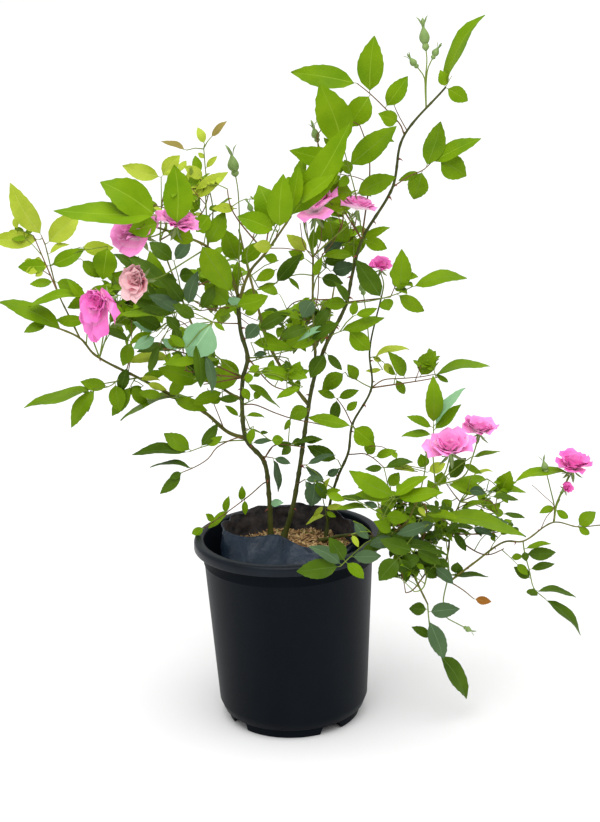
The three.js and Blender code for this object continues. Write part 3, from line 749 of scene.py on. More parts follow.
# Leaves that can be told apart from the front. A row holds the limb, the place where the
# leaf grows, the depth at its end, its tint, the stalk's way, and its leaflets: base across
# and up, or a share of the stalk, then tip across and up, seen width, and its own tint.
SEEN_LEAVES = [
    ("cane_tall", (173, 663), -12, "fresh", [],
     [(0, 212, 731, 12), (0, 168, 680, 11), (0, 195, 649, 16)]),
    ("cane_tall", (131, 618), -26, "fresh", [(128, 628), (113, 645), (98, 660), (86, 670)],
     [(1, 21, 683, 22), (0.78, 104, 715, 26), (0.76, 75, 628, 25), (0.48, 136, 675, 18),
      (0.2, 106, 640, 16)]),
    ("cane_tall", (88, 515), -42, "mid", [(82, 560), (75, 590), (71, 608)],
     [(1, 49, 671, 35, "fresh"), (0.8, 124, 627, 24), (0.8, 17, 607, 22, "fresh"),
      (0.5, 122, 577, 20), (0.5, 36, 567, 24), (80, 561, 49, 549, 20)]),
    ("bough_mid", (16, 541), -124, "fresh", [],
     [(0, 78, 632, 30), (17, 546, 26, 592, 16), (20, 552, 66, 586, 15)]),
    ("cane_tall", (119, 567), 14, "mid", [(135, 577), (150, 583), (158, 590)],
     [(0.85, 168, 630, 22), (1, 208, 612, 16, "fresh"), (165, 592, 193, 575, 25), (0.75, 140, 554, 22),
      (0.7, 125, 573, 8)]),
    ("cane_tall", (87, 515), 4, "fresh", [], [(0, 112, 505, 14), (0, 116, 526, 9)]),
    ("bough_left_top", (-122, 536), -130, "fresh", [(-119, 547)],
     [(1, -222, 556, 18), (1, -173, 583, 32)]),
    ("bough_left_top", (-102, 529), -118, "fresh", [(-99, 536)], [(1, -98, 597, 28)]),
    ("bough_left_top", (-120, 535), -122, "fresh", [(-116, 540)], [(1, -148, 532, 20)]),
    ("bough_left_top", (-84, 521), -86, "fresh", [(-80, 519)], [(1, -109, 531, 15)]),
    ("bough_left_top", (-72, 514), -50, "mid", [(-76, 516)],
     [(1, -48, 468, 28), (-70, 515, -50, 549, 19), (-65, 547, -80, 529, 16, "fresh")]),
    ("bough_left_inner", (-117, 522), 112, "young", [(-114, 550), (-112, 585)],
     [(1, -150, 598, 18), (1, -92, 606, 17), (0.5, -138, 560, 16, "mid")]),
    ("bough_left_top", (-69, 513), -34, "young", [(-62, 550), (-67, 585), (-68, 612)],
     [(-67, 616, -73, 633, 9), (-61, 622, -44, 638, 7, "red"), (-85, 611, -110, 620, 6, "red"),
      (-69, 582, -89, 595, 12), (-82, 563, -45, 588, 15), (0.8, -55, 604, 6), (0.9, -74, 608, 5),
      (-38, 551, -63, 552, 10)]),
    ("bough_mid", (-34, 474), 14, "fresh", [(-37, 488), (-38, 497)],
     [(1, -52, 531, 21, "mid"), (1, -12, 517, 16), (1, -24, 500, 8), (-45, 470, -40, 498, 10)]),
    ("bough_mid", (0, 519), -104, "fresh", [(2, 526)],
     [(0, 527, -38, 543, 21), (0, 529, -15, 574, 27), (4, 529, 10, 584, 25),
      (-3, 512, -23, 513, 13, "young")]),
    ("bough_mid", (-28, 486), -8, "fresh", [(-20, 470)],
     [(0, 488, -22, 477, 12), (2, 497, -13, 502, 10), (0, 474, -22, 467, 5)]),
    ("cane_left", (-41, 449), -28, "fresh", [(-43, 451)],
     [(-45, 452, -10, 461, 17), (-50, 452, -74, 476, 21, "mid"), (-36, 452, -68, 437, 9),
      (-34, 454, -53, 460, 10, "mint")]),
    ("cane_left", (-41, 450), -44, "deep", [(-62, 450), (-80, 448)],
     [(1, -64, 474, 13), (-93, 453, -80, 489, 14, "bluish"), (-96, 456, -118, 486, 15),
      (-98, 450, -132, 466, 14, "bluish")]),
    # A folded leaf: its lit upper half takes the pale blue-green tint as painted light, and its lower half
    # the dark tint as painted shade.
    ("cane_left", (-40, 433), -62, "mint", [(-55, 434), (-68, 436)],
     [(1, -95, 401, 36), (-86, 416, -84, 367, 15, "deep"), (-78, 403, -73, 361, 10, "bluish"),
      (1, -56, 426, 5, "mid"), (-103, 449, -120, 460, 10, "bluish"), (-101, 428, -115, 444, 12, "deep"),
      (-96, 410, -113, 424, 9, "mid"), (-84, 440, -108, 456, 13, "deep"),
      (-80, 396, -122, 392, 11, "fresh")]),
    ("bough_left_inner", (-84, 420), 2, "fresh", [(-98, 436), (-106, 440)],
     [(1, -166, 447, 8), (-118, 430, -150, 446, 15, "deep"), (-128, 428, -155, 416, 9),
      (-126, 423, -151, 411, 13, "mint"), (-103, 408, -122, 420, 11, "mint"),
      (-126, 428, -150, 439, 10, "mint"),
      (-108, 408, -148, 407, 9, "deep"), (-111, 400, -161, 396, 12, "young"),
      (-122, 416, -136, 383, 9, "deep"), (-104, 446, -150, 462, 17, "deep"),
      (-120, 462, -158, 480, 16, "deep"), (-110, 470, -150, 505, 18, "deep")]),
    ("bough_left_inner", (-92, 446), 78, "deep", [(-108, 462), (-122, 478)],
     [(1, -164, 510, 20), (1, -168, 490, 18, "mid"), (0.8, -172, 474, 18, "mid"), (0.5, -168, 455, 16),
      (0.3, -150, 438, 15), (0.7, -128, 512, 20, "mid"), (0.4, -130, 470, 18)]),
    ("cane_right", (42, 214), 16, "young", [(41, 228), (38, 246)],
     [(1, 24, 240, 7), (1, 47, 264, 6), (0.6, 28, 221, 6), (0.5, 60, 232, 7), (1, 58, 250, 8, "fresh"),
      (0.3, 20, 212, 6), (0.4, 52, 220, 6, "fresh")]),
    ("cane_left", (-19, 238), 14, "mint", [], [(0, -3, 238, 9)]),
    ("bough_left_inner", (-98, 462), 40, "deep", [(-100, 480), (-104, 500)],
     [(1, -128, 520, 18), (1, -86, 522, 14, "bluish"), (0.6, -84, 486, 16), (0.5, -122, 478, 18),
      (0.2, -86, 458, 14, "mid")]),
    ("bough_left_long", (-160, 387), 30, "mid", [(-154, 405), (-153, 419)],
     [(1, -163, 393, 15), (1, -182, 433, 10, "deep"), (0.2, -168, 365, 13, "deep")]),
    ("bough_left_inner", (-62, 367), 20, "mid", [(-70, 371), (-82, 374)],
     [(1, -127, 389, 23), (-41, 377, -81, 377, 25), (-42, 376, -62, 397, 14),
      (-60, 362, -94, 350, 14), (-62, 356, -74, 350, 8)]),
    ("bough_left_shoot", (-233, 522), 66, "young", [(-236, 531)],
     [(1, -263, 585, 24), (-231, 523, -196, 553, 24), (-238, 527, -290, 529, 19)]),
    ("bough_left_shoot", (-229, 500), 66, "fresh", [],
     [(0, -262, 500, 16), (0, -193, 516, 17), (-198, 518, -164, 516, 16, "young"),
      (-170, 518, -177, 484, 27), (-198, 506, -180, 486, 14, "mid"), (-231, 512, -208, 521, 6, "young")]),
    ("bough_left_shoot", (-226, 484), 62, "mid", [], [(0, -252, 482, 10), (0, -198, 475, 15)]),
    ("bough_left_long", (-200, 416), 40, "fresh", [(-196, 440), (-195, 468)],
     [(1, -255, 458, 9), (1, -166, 474, 15), (0.5, -228, 444, 13), (0.8, -214, 486, 12)]),
    ("bough_left_long", (-222, 432), 22, "mid", [], [(0, -286, 464, 18)]),
    ("bough_left_long", (-237, 440), 22, "mid", [], [(0, -262, 432, 11)]),
    ("bough_left_long", (-160, 387), 30, "mid", [(-178, 372), (-195, 370)],
     [(1, -269, 352, 11), (0.95, -221, 329, 17), (0.6, -208, 378, 14), (0.4, -170, 344, 18)]),
    ("bough_left_long", (-150, 381), 40, "mid", [(-156, 372)],
     [(1, -178, 340, 15), (1, -140, 350, 14), (-143, 371, -162, 364, 9), (-148, 379, -125, 376, 6, "young"),
      (-146, 380, -118, 385, 10, "fresh"), (-140, 374, -119, 366, 8, "young")]),
    ("bough_left_long", (-105, 355), 28, "mid", [(-115, 357), (-122, 360)],
     [(-92, 358, -169, 334, 13), (0.5, -78, 342, 14), (0.7, -100, 382, 14), (1, -149, 364, 11)]),
    ("cane_left", (-38, 309), 2, "mid", [(-44, 312), (-70, 302), (-80, 290), (-95, 281), (-108, 276)],
     [(1, -133, 253, 12, "deep"), (0.85, -142, 282, 8, "deep"), (1, -122, 270, 8, "deep")]),
    ("cane_left", (-38, 309), 8, "mid", [(-60, 308), (-85, 303), (-100, 298)],
     [(1, -160, 297, 13, "deep"), (0.95, -125, 319, 18), (0.8, -68, 328, 12, "deep"), (0.7, -64, 314, 9)]),
    ("cane_left", (-18, 258), 8, "fresh", [(-20, 262), (-38, 248), (-60, 232), (-88, 213)],
     [(1, -102, 207, 9), (0.85, -86, 229, 8), (0.7, -60, 248, 8), (0.62, -84, 212, 9),
      (0.45, -46, 259, 8), (0.4, -44, 226, 7)]),
    ("cane_left", (-34, 391), -24, "mid", [(-20, 396), (0, 401), (18, 405), (30, 413)],
     [(-30, 413, 14, 403, 15, "fresh"), (40, 417, 13, 406, 11, "fresh"), (1, 62, 431, 12, "deep"),
      (31, 427, 1, 415, 13, "deep"), (52, 428, 18, 412, 9, "mint"), (-12, 401, -28, 399, 6, "bluish"),
      (-20, 433, -35, 417, 15, "bluish"), (-22, 426, 12, 442, 14, "deep"), (25, 434, -7, 443, 7)]),
    ("cane_left", (-40, 374), -26, "fresh", [(-34, 382)],
     [(1, -22, 388, 8), (-24, 383, 12, 374, 15), (2, 384, 27, 373, 14), (14, 375, 20, 391, 12),
      (1, -34, 370, 9), (-36, 371, -3, 342, 8, "mid"), (22, 364, -6, 352, 9)]),
    ("cane_left", (-39, 318), 2, "mid", [(-35, 321)],
     [(-40, 335, -19, 332, 5), (-31, 323, -36, 304, 9, "fresh"), (-34, 305, -12, 307, 6, "bluish"),
      (-14, 307, 0, 308, 11, "fresh"), (-25, 317, -16, 316, 4, "deep")]),
    ("cane_left", (-22, 286), 14, "deep", [(-10, 302), (8, 301)],
     [(-9, 302, 9, 303, 7), (1, -3, 291, 9), (10, 303, 39, 307, 7), (8, 331, 1, 318, 6, "mid")]),
    ("cane_left", (-41, 347), 0, "mid", [(-30, 352)],
     [(-41, 366, -34, 352, 9, "fresh"), (1, -20, 361, 8), (-43, 353, -66, 354, 9, "deep"),
      (-45, 334, -60, 347, 6)]),
    ("cane_left", (-26, 290), 10, "bluish", [(-12, 288)], [(1, -8, 250, 9), (1, 6, 281, 8)]),
    ("bough_cross", (-2, 392), 36, "mid", [(2, 405)], [(1, 40, 425, 14), (1, -17, 424, 12)]),
    ("cane_tall", (20, 305), 4, "deep", [], [(0, 41, 306, 8), (0, 8, 303, 9)]),
    ("cane_tall", (26, 337), -8, "mid", [(28, 341)], [(1, 7, 331, 16)]),
    ("cane_tall", (18, 279), 4, "bluish", [(22, 279)], [(1, 54, 289, 7), (42, 257, 21, 277, 9)]),
    ("cane_tall", (12, 258), -6, "bluish", [(20, 263)], [(1, 31, 242, 9), (1, 41, 262, 8)]),
    ("cane_tall", (77, 480), 24, "fresh", [(78, 498), (79, 517)],
     [(1, 78, 497, 19), (91, 521, 82, 501, 11), (66, 512, 50, 535, 17, "mid"),
      (66, 510, 70, 532, 15, "mid"), (80, 499, 46, 499, 10)]),
    ("bough_bloom", (35, 462), 32, "deep", [(40, 478), (50, 488)],
     [(43, 478, 67, 471, 14), (54, 484, 80, 490, 16, "bluish"), (46, 502, 68, 515, 14, "bluish"),
      (33, 505, 11, 523, 14, "young"), (30, 497, 12, 506, 11, "fresh"),
      (50, 512, 44, 533, 14, "mid"), (36, 505, 38, 528, 10, "mid"), (46, 494, 70, 496, 12)]),
    ("bough_bloom", (35, 448), -26, "bluish", [(36, 456)],
     [(1, 24, 437, 18), (35, 425, 53, 447, 12, "deep")]),
    ("bough_bloom", (36, 480), 10, "mid", [(24, 482), (10, 480)],
     [(-2, 474, 26, 503, 16, "deep"), (1, 22, 466, 5), (37, 478, 46, 499, 9)]),
    ("cane_tall", (72, 449), -10, "mid", [(72, 450)], [(1, 57, 473, 9, "deep"), (1, 46, 450, 14)]),
    ("cane_tall", (72, 449), -22, "mid", [(95, 452), (121, 458), (137, 465)],
     [(0.8, 127, 504, 21), (1, 193, 472, 14), (0.75, 149, 439, 15), (0.55, 113, 441, 15),
      (0.52, 80, 495, 21, "deep")]),
    ("cane_tall", (52, 417), -16, "mid", [(62, 421)],
     [(1, 108, 434, 12), (70, 422, 92, 400, 19, "fresh"), (77, 437, 101, 444, 9, "fresh"),
      (75, 436, 79, 453, 9)]),
    ("cane_tall", (45, 401), 0, "deep", [(47, 399)], [(1, 63, 380, 9), (1, 30, 373, 17)]),
    ("cane_right", (93, 360), 60, "mid", [(84, 365), (78, 369), (69, 373)],
     [(66, 378, 42, 360, 18), (0.6, 69, 386, 13)]),
    ("cane_right", (72, 321), 52, "mid", [(64, 339), (57, 350)],
     [(1, 80, 358, 10), (1, 37, 359, 9), (0.5, 78, 346, 9, "fresh"), (1, 53, 325, 12, "deep")]),
    ("cane_right", (93, 360), 96, "mid", [(105, 368), (125, 369), (145, 370), (158, 372)],
     [(0.55, 111, 398, 15), (0.78, 160, 397, 21), (1, 216, 378, 10), (1, 173, 363, 6),
      (0.4, 127, 352, 10)]),
    ("cane_right", (93, 392), 90, "young", [(95, 393)],
     [(1, 104, 388, 6), (106, 387, 115, 373, 10), (105, 379, 87, 378, 6), (1, 133, 399, 8)]),
    ("cane_right", (72, 321), 4, "fresh", [(72, 319)], [(1, 26, 331, 13), (1, 94, 299, 22)]),
    ("cane_right", (66, 289), 14, "mid", [(74, 289), (84, 289), (94, 283), (104, 273)],
     [(86, 287, 95, 301, 13), (94, 285, 118, 291, 10), (1, 135, 278, 10, "deep"),
      (1, 84, 272, 8, "deep"), (140, 267, 114, 271, 7, "young"), (108, 251, 120, 267, 13),
      (147, 270, 143, 287, 13, "fresh"), (150, 266, 169, 275, 12, "young")]),
    ("cane_right", (58, 275), 24, "deep", [(56, 283)],
     [(1, 24, 300, 16), (43, 266, 57, 273, 9, "bluish")]),
    ("cane_right", (50, 252), -16, "bluish", [(38, 260), (31, 262)],
     [(1, 26, 233, 20), (1, 42, 240, 12, "deep")]),
    ("bough_low_bloom", (158, 251), -88, "mid", [(156, 285), (157, 318)],
     [(1, 157, 371, 18), (0.95, 129, 328, 9), (0.9, 186, 339, 12), (0.85, 123, 306, 8),
      (0.97, 191, 356, 9, "mint")]),
    ("cane_low", (94, 194), -112, "mid", [(104, 222), (112, 236)],
     [(115, 240, 67, 271, 20), (116, 238, 166, 243, 14, "fresh"), (112, 240, 150, 262, 13, "fresh"),
      (112, 236, 72, 244, 12, "mid"), (0.6, 128, 214, 14, "mid"), (42, 246, 62, 238, 9, "mid")]),
    ("bough_low_bloom", (150, 243), -62, "mid", [(178, 268), (196, 281)],
     [(1, 227, 286, 6), (0.8, 207, 262, 7), (172, 257, 191, 280, 15, "deep"),
      (163, 250, 165, 266, 13, "fresh"), (160, 236, 150, 258, 12, "fresh")]),
    ("bough_low_up", (184, 232), 40, "mid", [(199, 238), (212, 243)],
     [(226, 240, 237, 264, 20, "fresh"), (1, 254, 240, 10), (215, 255, 182, 256, 9),
      (0.6, 224, 216, 10)]),
    ("bough_low_up", (184, 232), -20, "mid", [(178, 240), (170, 252)],
     [(1, 213, 237, 15), (182, 223, 211, 232, 7, "fresh"), (165, 224, 175, 234, 13)]),
    ("bough_low_up", (174, 206), -70, "mid", [(166, 212), (160, 217)],
     [(1, 254, 189, 15), (195, 203, 220, 190, 7, "bluish"), (176, 201, 196, 195, 5),
      (183, 218, 197, 222, 6, "bluish"), (0.4, 160, 188, 10, "fresh")]),
    ("cane_low", (166, 146), -62, "deep", [(172, 149)],
     [(1, 214, 146, 8), (178, 150, 181, 164, 13), (170, 152, 131, 179, 17), (167, 168, 139, 188, 8),
      (168, 196, 138, 190, 7)]),
    ("cane_low", (171, 143), -62, "rust", [(186, 132), (198, 121)], [(1, 217, 117, 9)]),
    ("cane_low", (94, 194), -114, "deep", [(84, 190), (70, 178), (55, 164)],
     [(1, 8, 160, 20), (0.95, 22, 188, 13, "bluish"), (0.85, 44, 197, 17), (0.7, 99, 174, 14, "bluish"),
      (0.85, 80, 149, 12, "mid")]),
    ("cane_low", (107, 186), -92, "deep", [(110, 180), (118, 172)],
     [(1, 96, 146, 20), (1, 128, 150, 14), (135, 178, 98, 193, 17), (104, 196, 86, 180, 14),
      (150, 208, 116, 198, 13, "bluish"), (118, 160, 141, 173, 15), (112, 200, 92, 214, 12, "mid")]),
    ("cane_low", (110, 182), -84, "deep", [(113, 186), (117, 190)],
     [(101, 198, 136, 190, 7), (118, 191, 86, 187, 14, "bluish"), (113, 189, 127, 172, 12, "bluish"),
      (120, 187, 153, 183, 10)]),
    ("cane_low", (130, 167), -82, "deep", [(133, 172), (134, 176)],
     [(135, 180, 163, 162, 13), (136, 181, 171, 171, 5), (122, 172, 144, 157, 12),
      (143, 160, 158, 147, 11)]),
    ("cane_low", (150, 155), -74, "bluish", [(153, 159), (156, 160)],
     [(1, 176, 139, 12), (160, 176, 146, 186, 8, "deep"), (158, 170, 172, 158, 8, "deep")]),
    ("bough_low_bloom", (122, 206), -78, "mid", [(112, 214), (104, 224), (98, 229)],
     [(1, 82, 235, 7, "bluish"), (98, 233, 113, 216, 8, "deep"), (100, 219, 133, 213, 7),
      (124, 225, 135, 227, 5, "deep"), (96, 238, 55, 241, 6, "deep"), (88, 229, 52, 227, 6, "fresh"),
      (112, 240, 76, 252, 12)]),
    ("bough_low_bloom", (136, 230), -66, "mid", [(141, 226), (145, 220)],
     [(139, 229, 147, 217, 6, "young"), (146, 229, 164, 222, 7, "deep"), (1, 184, 212, 10, "fresh"),
      (158, 209, 132, 200, 12, "bluish"), (134, 199, 140, 187, 7, "bluish"),
      (142, 191, 170, 195, 5, "deep"), (128, 246, 156, 238, 13, "fresh")]),
    ("cane_low", (92, 194), -96, "bluish", [(88, 202)],
     [(70, 215, 86, 194, 10), (68, 200, 75, 185, 6, "young")]),
    ("bough_low_up", (180, 226), -24, "mid", [(186, 236), (192, 244)],
     [(173, 253, 205, 240, 13), (1, 211, 240, 10, "bluish"), (216, 237, 246, 231, 7, "deep"),
      (196, 260, 219, 264, 4, "young")]),
    ("bough_low_up", (174, 206), -46, "mid", [(184, 211), (194, 213)],
     [(1, 236, 206, 10, "bluish"), (228, 217, 253, 211, 5, "deep"), (176, 199, 190, 176, 9, "deep")]),
    ("bough_far", (309, 199), -46, "mid", [], [(0, 328, 215, 15), (0, 322, 190, 8)]),
    ("bough_far", (333, 200), -46, "mid", [], [(0, 341, 206, 6)]),
    ("bough_far", (284, 205), -50, "fresh", [(285, 222), (296, 250), (300, 260)],
     [(1, 242, 252, 11), (0.25, 299, 209, 8), (0.3, 268, 216, 8)]),
    ("bough_far", (251, 185), -42, "deep", [(252, 175), (258, 150), (263, 130), (275, 118)],
     [(0.15, 254, 162, 8), (0.12, 281, 181, 7, "mid"), (0.2, 286, 171, 14), (0.45, 285, 158, 9),
      (0.6, 241, 156, 12), (0.75, 260, 122, 12), (0.8, 308, 118, 6), (1, 314, 74, 14)]),
    ("bough_weep", (148, 117), -62, "deep", [(149, 100), (152, 76), (160, 58)],
     [(1, 189, 3, 20), (0.15, 183, 110, 16, "bluish"), (0.3, 165, 52, 18, "bluish"),
      (0.65, 130, 91, 10), (0.1, 128, 112, 14)]),
]
SWAY_LENGTH, RED_SHARE = 32, 0.45
for limb, fork, behind, tint, way, leaflets in SEEN_LEAVES:
    root = nearest(paths[limb], *fork)
    depth = root.y * 1000
    runs = [0.0]
    for a, b in zip([fork] + way, way):
        runs.append(runs[-1] + math.dist(a, b))
    spots = [root] + [place(a, u, depth + (behind - depth) * run / max(runs[-1], 1))
                      for (a, u), run in zip(way, runs[1:])]
    stalk = smooth_path(spots, PATH_STEP) if way else np.array([tuple(root)] * 2)
    if way:
        draw_stalk(stalk, *LEAF_STALK, stalk_shade(leaf_dice, RED_SHARE))
    for leaflet in leaflets:
        own = leaflet[-1] if isinstance(leaflet[-1], str) else tint
        *start, across, up, width = [value for value in leaflet if not isinstance(value, str)]
        if len(start) == 1:
            base = along(stalk, start[0])
        else:
            joint = nearest(stalk, *start)
            deep = joint.y * 1000 + (behind - joint.y * 1000) * 0.5 + leaf_dice.uniform(-6, 6)
            base = place(*start, deep if math.dist(seen(joint), start) > 3 else joint.y * 1000)
            middle = joint.lerp(base, 0.5) + Vector((0, 0, 0.08 * (joint - base).length))
            draw_stalk([joint, middle, base], *SIDE_STALK)
        deep = base.y * 1000 if way else behind * 0.5 + depth * 0.5
        sway = min((place(across, up, deep) - base).length * 1000, SWAY_LENGTH)
        tip = place(across, up, deep + leaf_dice.uniform(-0.3, 0.3) * sway)
        neck = base.lerp(tip, min(0.1, 0.003 / max((tip - base).length, 1e-4)))
        draw_stalk([base, neck, base.lerp(tip, 0.16)], *LEAFLET_STALK)
        seen_blade(own, neck, tip, width)


# Sprays: twigs grow from a limb into its mass, with leaves placed round them by a seeded
# rule. A leaf is kept where it stays inside the masses, and behind the leaves in front of
# it, so that the crown is full in depth while the open places stay open.
# Columns: limb, fork, tip, wide, deep, bow, leaves, leaflet size, tints. A mass with None has
# only the leaves and blooms that are placed one by one.
SPRAYS = {
    "top_tip": None, "top_buds": None, "top_left": None, "top_leaf": None,
    "upper_mid": ("cane_tall", (87, 515), (58, 671, -42), 80, 22, 0, 6, 24, "mid fresh"),
    "upper_right": None, "near_mid": None,
    "mid": ("bough_mid", (-11, 505), (-38, 603, -72), 66, 34, 0, 8, 22, "fresh young"),
    "bloom": ("bough_bloom", (37, 500), (58, 566, -16), 64, 48, 0, 9, 21, "mid fresh"),
    "left_tip": ("bough_left_top", (-69, 513), (-68, 632, -34), 66, 28, 0, 4, 20, "young fresh"),
    "left_near": None,
    "left_crown": ("bough_left_top", (-110, 532), (-104, 592, -116), 56, 26, 0, 5, 21, "fresh"),
    "left_bloom": ("bough_left_long", (-186, 403), (-180, 484, 18), 44, 34, 0, 6, 21, "mid fresh"),
    "inner_high": ("bough_left_inner", (-117, 522), (-70, 596, 116), 82, 44, 0, 12, 24, "fresh young"),
    "inner_back": ("bough_left_inner", (-100, 468), (-26, 474, 170), 86, 48, 0, 14, 25, "mid fresh"),
    "inner_low": ("bough_left_inner", (-95, 450), (-182, 474, 74), 84, 40, 0, 15, 24, "mid fresh"),
    "shoot": ("bough_left_shoot", (-222, 468), (-262, 585, 82), 66, 18, 0, 5, 21, "fresh young"),
    "left_end": None,
    "left_long": ("bough_left_long", (-148, 380), (-269, 353, 30), 36, 14, 4, 2, 19, "mid"),
    "left_core": ("cane_left", (-40, 376), (-152, 412, -40), 78, 40, 0, 15, 23, "mid mid fresh deep"),
    "low_left": None, "low_drop": None, "pot_edge": None,
    "core_low": ("cane_left", (-34, 397), (30, 366, -30), 56, 34, 0, 8, 19, "mid mid fresh deep"),
    "core_mid": ("bough_cross", (-10, 407), (58, 440, 46), 60, 40, 0, 11, 20, "mid mid fresh deep"),
    "back_high": ("bough_back", (62, 490), (78, 566, 182), 76, 54, 0, 14, 25, "mid mid fresh deep"),
    "back_low": ("bough_back", (55, 455), (0, 418, 186), 72, 52, 0, 14, 25, "mid mid fresh deep"),
    "stem": ("bough_bloom", (35, 445), (64, 502, -44), 56, 38, 0, 8, 20, "mid fresh"),
    "right_mid": ("cane_tall", (70, 451), (194, 472, -22), 48, 14, 4, 2, 20, "mid"),
    "right_low": ("cane_right", (93, 360), (217, 379, 96), 46, 18, 2, 2, 20, "mid"),
    "right_curl": ("cane_right", (72, 321), (112, 288, 6), 48, 30, 8, 5, 19, "mid mid fresh deep"),
    "low_bloom": None, "low_leaf": None,
    "low_right": ("bough_low_up", (184, 232), (246, 250, 40), 50, 24, 0, 6, 17, "mid"),
    "low_long": ("bough_low_up", (173, 196), (252, 187, -40), 38, 20, 8, 6, 15, "mid deep"),
    "low_dense": ("cane_low", (135, 165), (134, 250, -20), 92, 48, 0, 36, 20, "deep mid mid"),
    "low_under": ("cane_low", (149, 156), (114, 138, -106), 56, 34, 0, 12, 18, "deep mid bluish"),
    "front_rim": None, "far_bloom": None, "far_drop": None, "weep": None,
}
# How much of a leaf has to lie behind what fills the front: usually, and in the masses whose
# leaves show more.
HIDDEN_SHARE = 0.62
OPEN_TO_VIEW = {"low_dense": 0.15, "low_under": 0.15, "left_core": 0.4, "inner_low": 0.3,
                "inner_back": 0.5, "low_long": 0.3, "core_low": 0.4}
# How far out of the masses a leaflet may end, and how near the end of another one, in metres.
ROOM, CROWD_GAP = 0.008, 0.008
TRIES, GOOD_SCORE, LEAST_INSIDE, LEAST_HIDDEN = 30, 1.97, 0.45, 0.7
LEAVES_ON_TWIG, GOLDEN_TURN, RED_LEAVES, RED_TWIGS = 4, 2.4, 0.35, 0.5
# The front cover's cells in millimetres, and how far behind it still counts as in it.
CELL, BEHIND = 3.0, 0.004
TWIG, STALK_STEP = (0.001, 0.0006), 0.006
GROWN_LEAF_STALK, GROWN_LEAFLET_STALK = (0.0006, 0.0004), (0.00035, 0.00025)
spray_dice = random.Random(41)
corners, sides = [], []
for name in SPRAYS:
    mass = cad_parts["spray_" + name]
    start = len(corners)
    corners += [Vector(vert.co) for vert in mass.data.vertices]
    sides += [[start + i for i in face.vertices] for face in mass.data.polygons]
masses = BVHTree.FromPolygons(corners, sides)

# The front cover: how near a leaf lies in each cell, as seen from the front.
cover = {}


def cell_of(point):
    """The cell of the front cover that a point is seen in."""
    across, up = seen(point)
    return int(across // CELL), int(up // CELL)


for blades in foliage.values():
    for spots in blades:
        edge_left = spots[(blade_u < -0.9) & (blade_skin == 0)]
        edge_right = spots[(blade_u > 0.9) & (blade_skin == 0)]
        for share in np.linspace(0, 1, 11):
            for point in edge_left + (edge_right - edge_left) * share:
                cell = cell_of(point)
                cover[cell] = min(point[1], cover.get(cell, point[1]))


def inside_masses(point):
    """Tells whether a point lies in a mass, or no more than ROOM outside one."""
    spot, normal, _, off = masses.find_nearest(point)
    return off < ROOM or (point - spot).dot(normal) < 0


def hidden_share(leaflets):
    """How much of a leaf lies behind what fills the front already."""
    cells = []
    for start, point, width in leaflets:
        across = (point - start).cross(EYE - start).normalized() * width * 0.3
        middle = start.lerp(point, 0.5)
        cells += [(cell_of(spot), spot.y) for spot in (middle, point, middle + across, middle - across)]
    return sum(cover.get(cell, 1) < depth + BEHIND for cell, depth in cells) / len(cells)


def plan_leaf(base, line, up, length, blade, pairs):
    """A leaf that grows from base along line: its stalk and its leaflets' places."""
    side = line.cross(up).normalized()
    lift = side.cross(line).normalized()
    stalk = smooth_path([base, base + line * length * 0.5 + lift * length * 0.07,
                         base + line * length * 0.97 - up * length * 0.1], STALK_STEP)
    leaflets = []
    for pair in range(pairs):
        share = 0.42 + 0.5 * pair / max(pairs - 1, 1) if pairs > 1 else 0.62
        size = blade * (0.74 + 0.2 * share) * spray_dice.uniform(0.88, 1.1)
        for hand in (-1, 1):
            spread = math.radians(spray_dice.uniform(48, 66))
            way = heading(stalk, share) * math.cos(spread) + side * hand * math.sin(spread)
            way = (way + up * spray_dice.uniform(-0.3, 0.25)).normalized()
            start = along(stalk, share)
            leaflets.append((start, start + way * size, size * spray_dice.uniform(0.5, 0.64)))
    way = (heading(stalk, 0.98) - up * spray_dice.uniform(0, 0.3)).normalized()
    start = along(stalk, 1)
    leaflets.append((start, start + way * blade * 1.12, blade * spray_dice.uniform(0.56, 0.66)))
    return stalk, leaflets


crowd = []


def try_leaf(base, line, out, blade, attempt, wanted):
    """Plans a leaf that grows from base, out from a twig that runs along line. Returns its
    score, its parts, and the shares of it inside the masses and behind what fills the front."""
    way = (out * spray_dice.uniform(0.4, 1.1) + line * spray_dice.uniform(-0.1, 0.9)
           + Vector((0, 0, spray_dice.uniform(-0.1, 0.35)))).normalized()
    up = (Vector((0, -0.35, 0.8)) + out * 0.3
          + Vector([spray_dice.gauss(0, 0.3) for _ in range(3)])).normalized()
    size = blade / 1000 * spray_dice.uniform(0.8, 1.2) * (1 - 0.25 * attempt / TRIES)
    length = size * spray_dice.uniform(1.4, 2.0)
    pairs = spray_dice.choice((1, 2, 2, 3))
    stalk, leaflets = plan_leaf(base, way, up, length, size, pairs)
    ends = [leaflet[1] for leaflet in leaflets]
    inside = sum(inside_masses(point) for point in ends) / len(ends)
    close = sum(any((point - other).length < CROWD_GAP for other in crowd) for point in ends)
    hidden = min(1, hidden_share(leaflets) / wanted)
    return inside + hidden - 0.06 * close, stalk, leaflets, up, inside, hidden


def draw_leaf(stalk, leaflets, up, tint, shade, wanted):
    """Draws those leaflets of a planned leaf that are inside and behind enough, and its stalk
    up to the last of them. Returns at which step of the stalk that is, or 0 for none."""
    reach = 0
    for start, point, width in leaflets:
        hidden = hidden_share([(start, point, width)])
        if not inside_masses(point) or hidden < wanted * LEAST_HIDDEN:
            continue
        joint = int(np.argmin(np.linalg.norm(stalk - np.array(start), axis=1)))
        reach = max(reach, 1, joint)
        crowd.append(point)
        neck = start.lerp(point, 0.08)
        draw_stalk([start, neck, start.lerp(point, 0.2)], *GROWN_LEAFLET_STALK, shade)
        facing = up + Vector([spray_dice.gauss(0, 0.25) for _ in range(3)])
        add_blade(tint, neck, point, width, facing)
    if reach:
        draw_stalk(stalk[:reach + 1], *GROWN_LEAF_STALK, shade)
    return reach


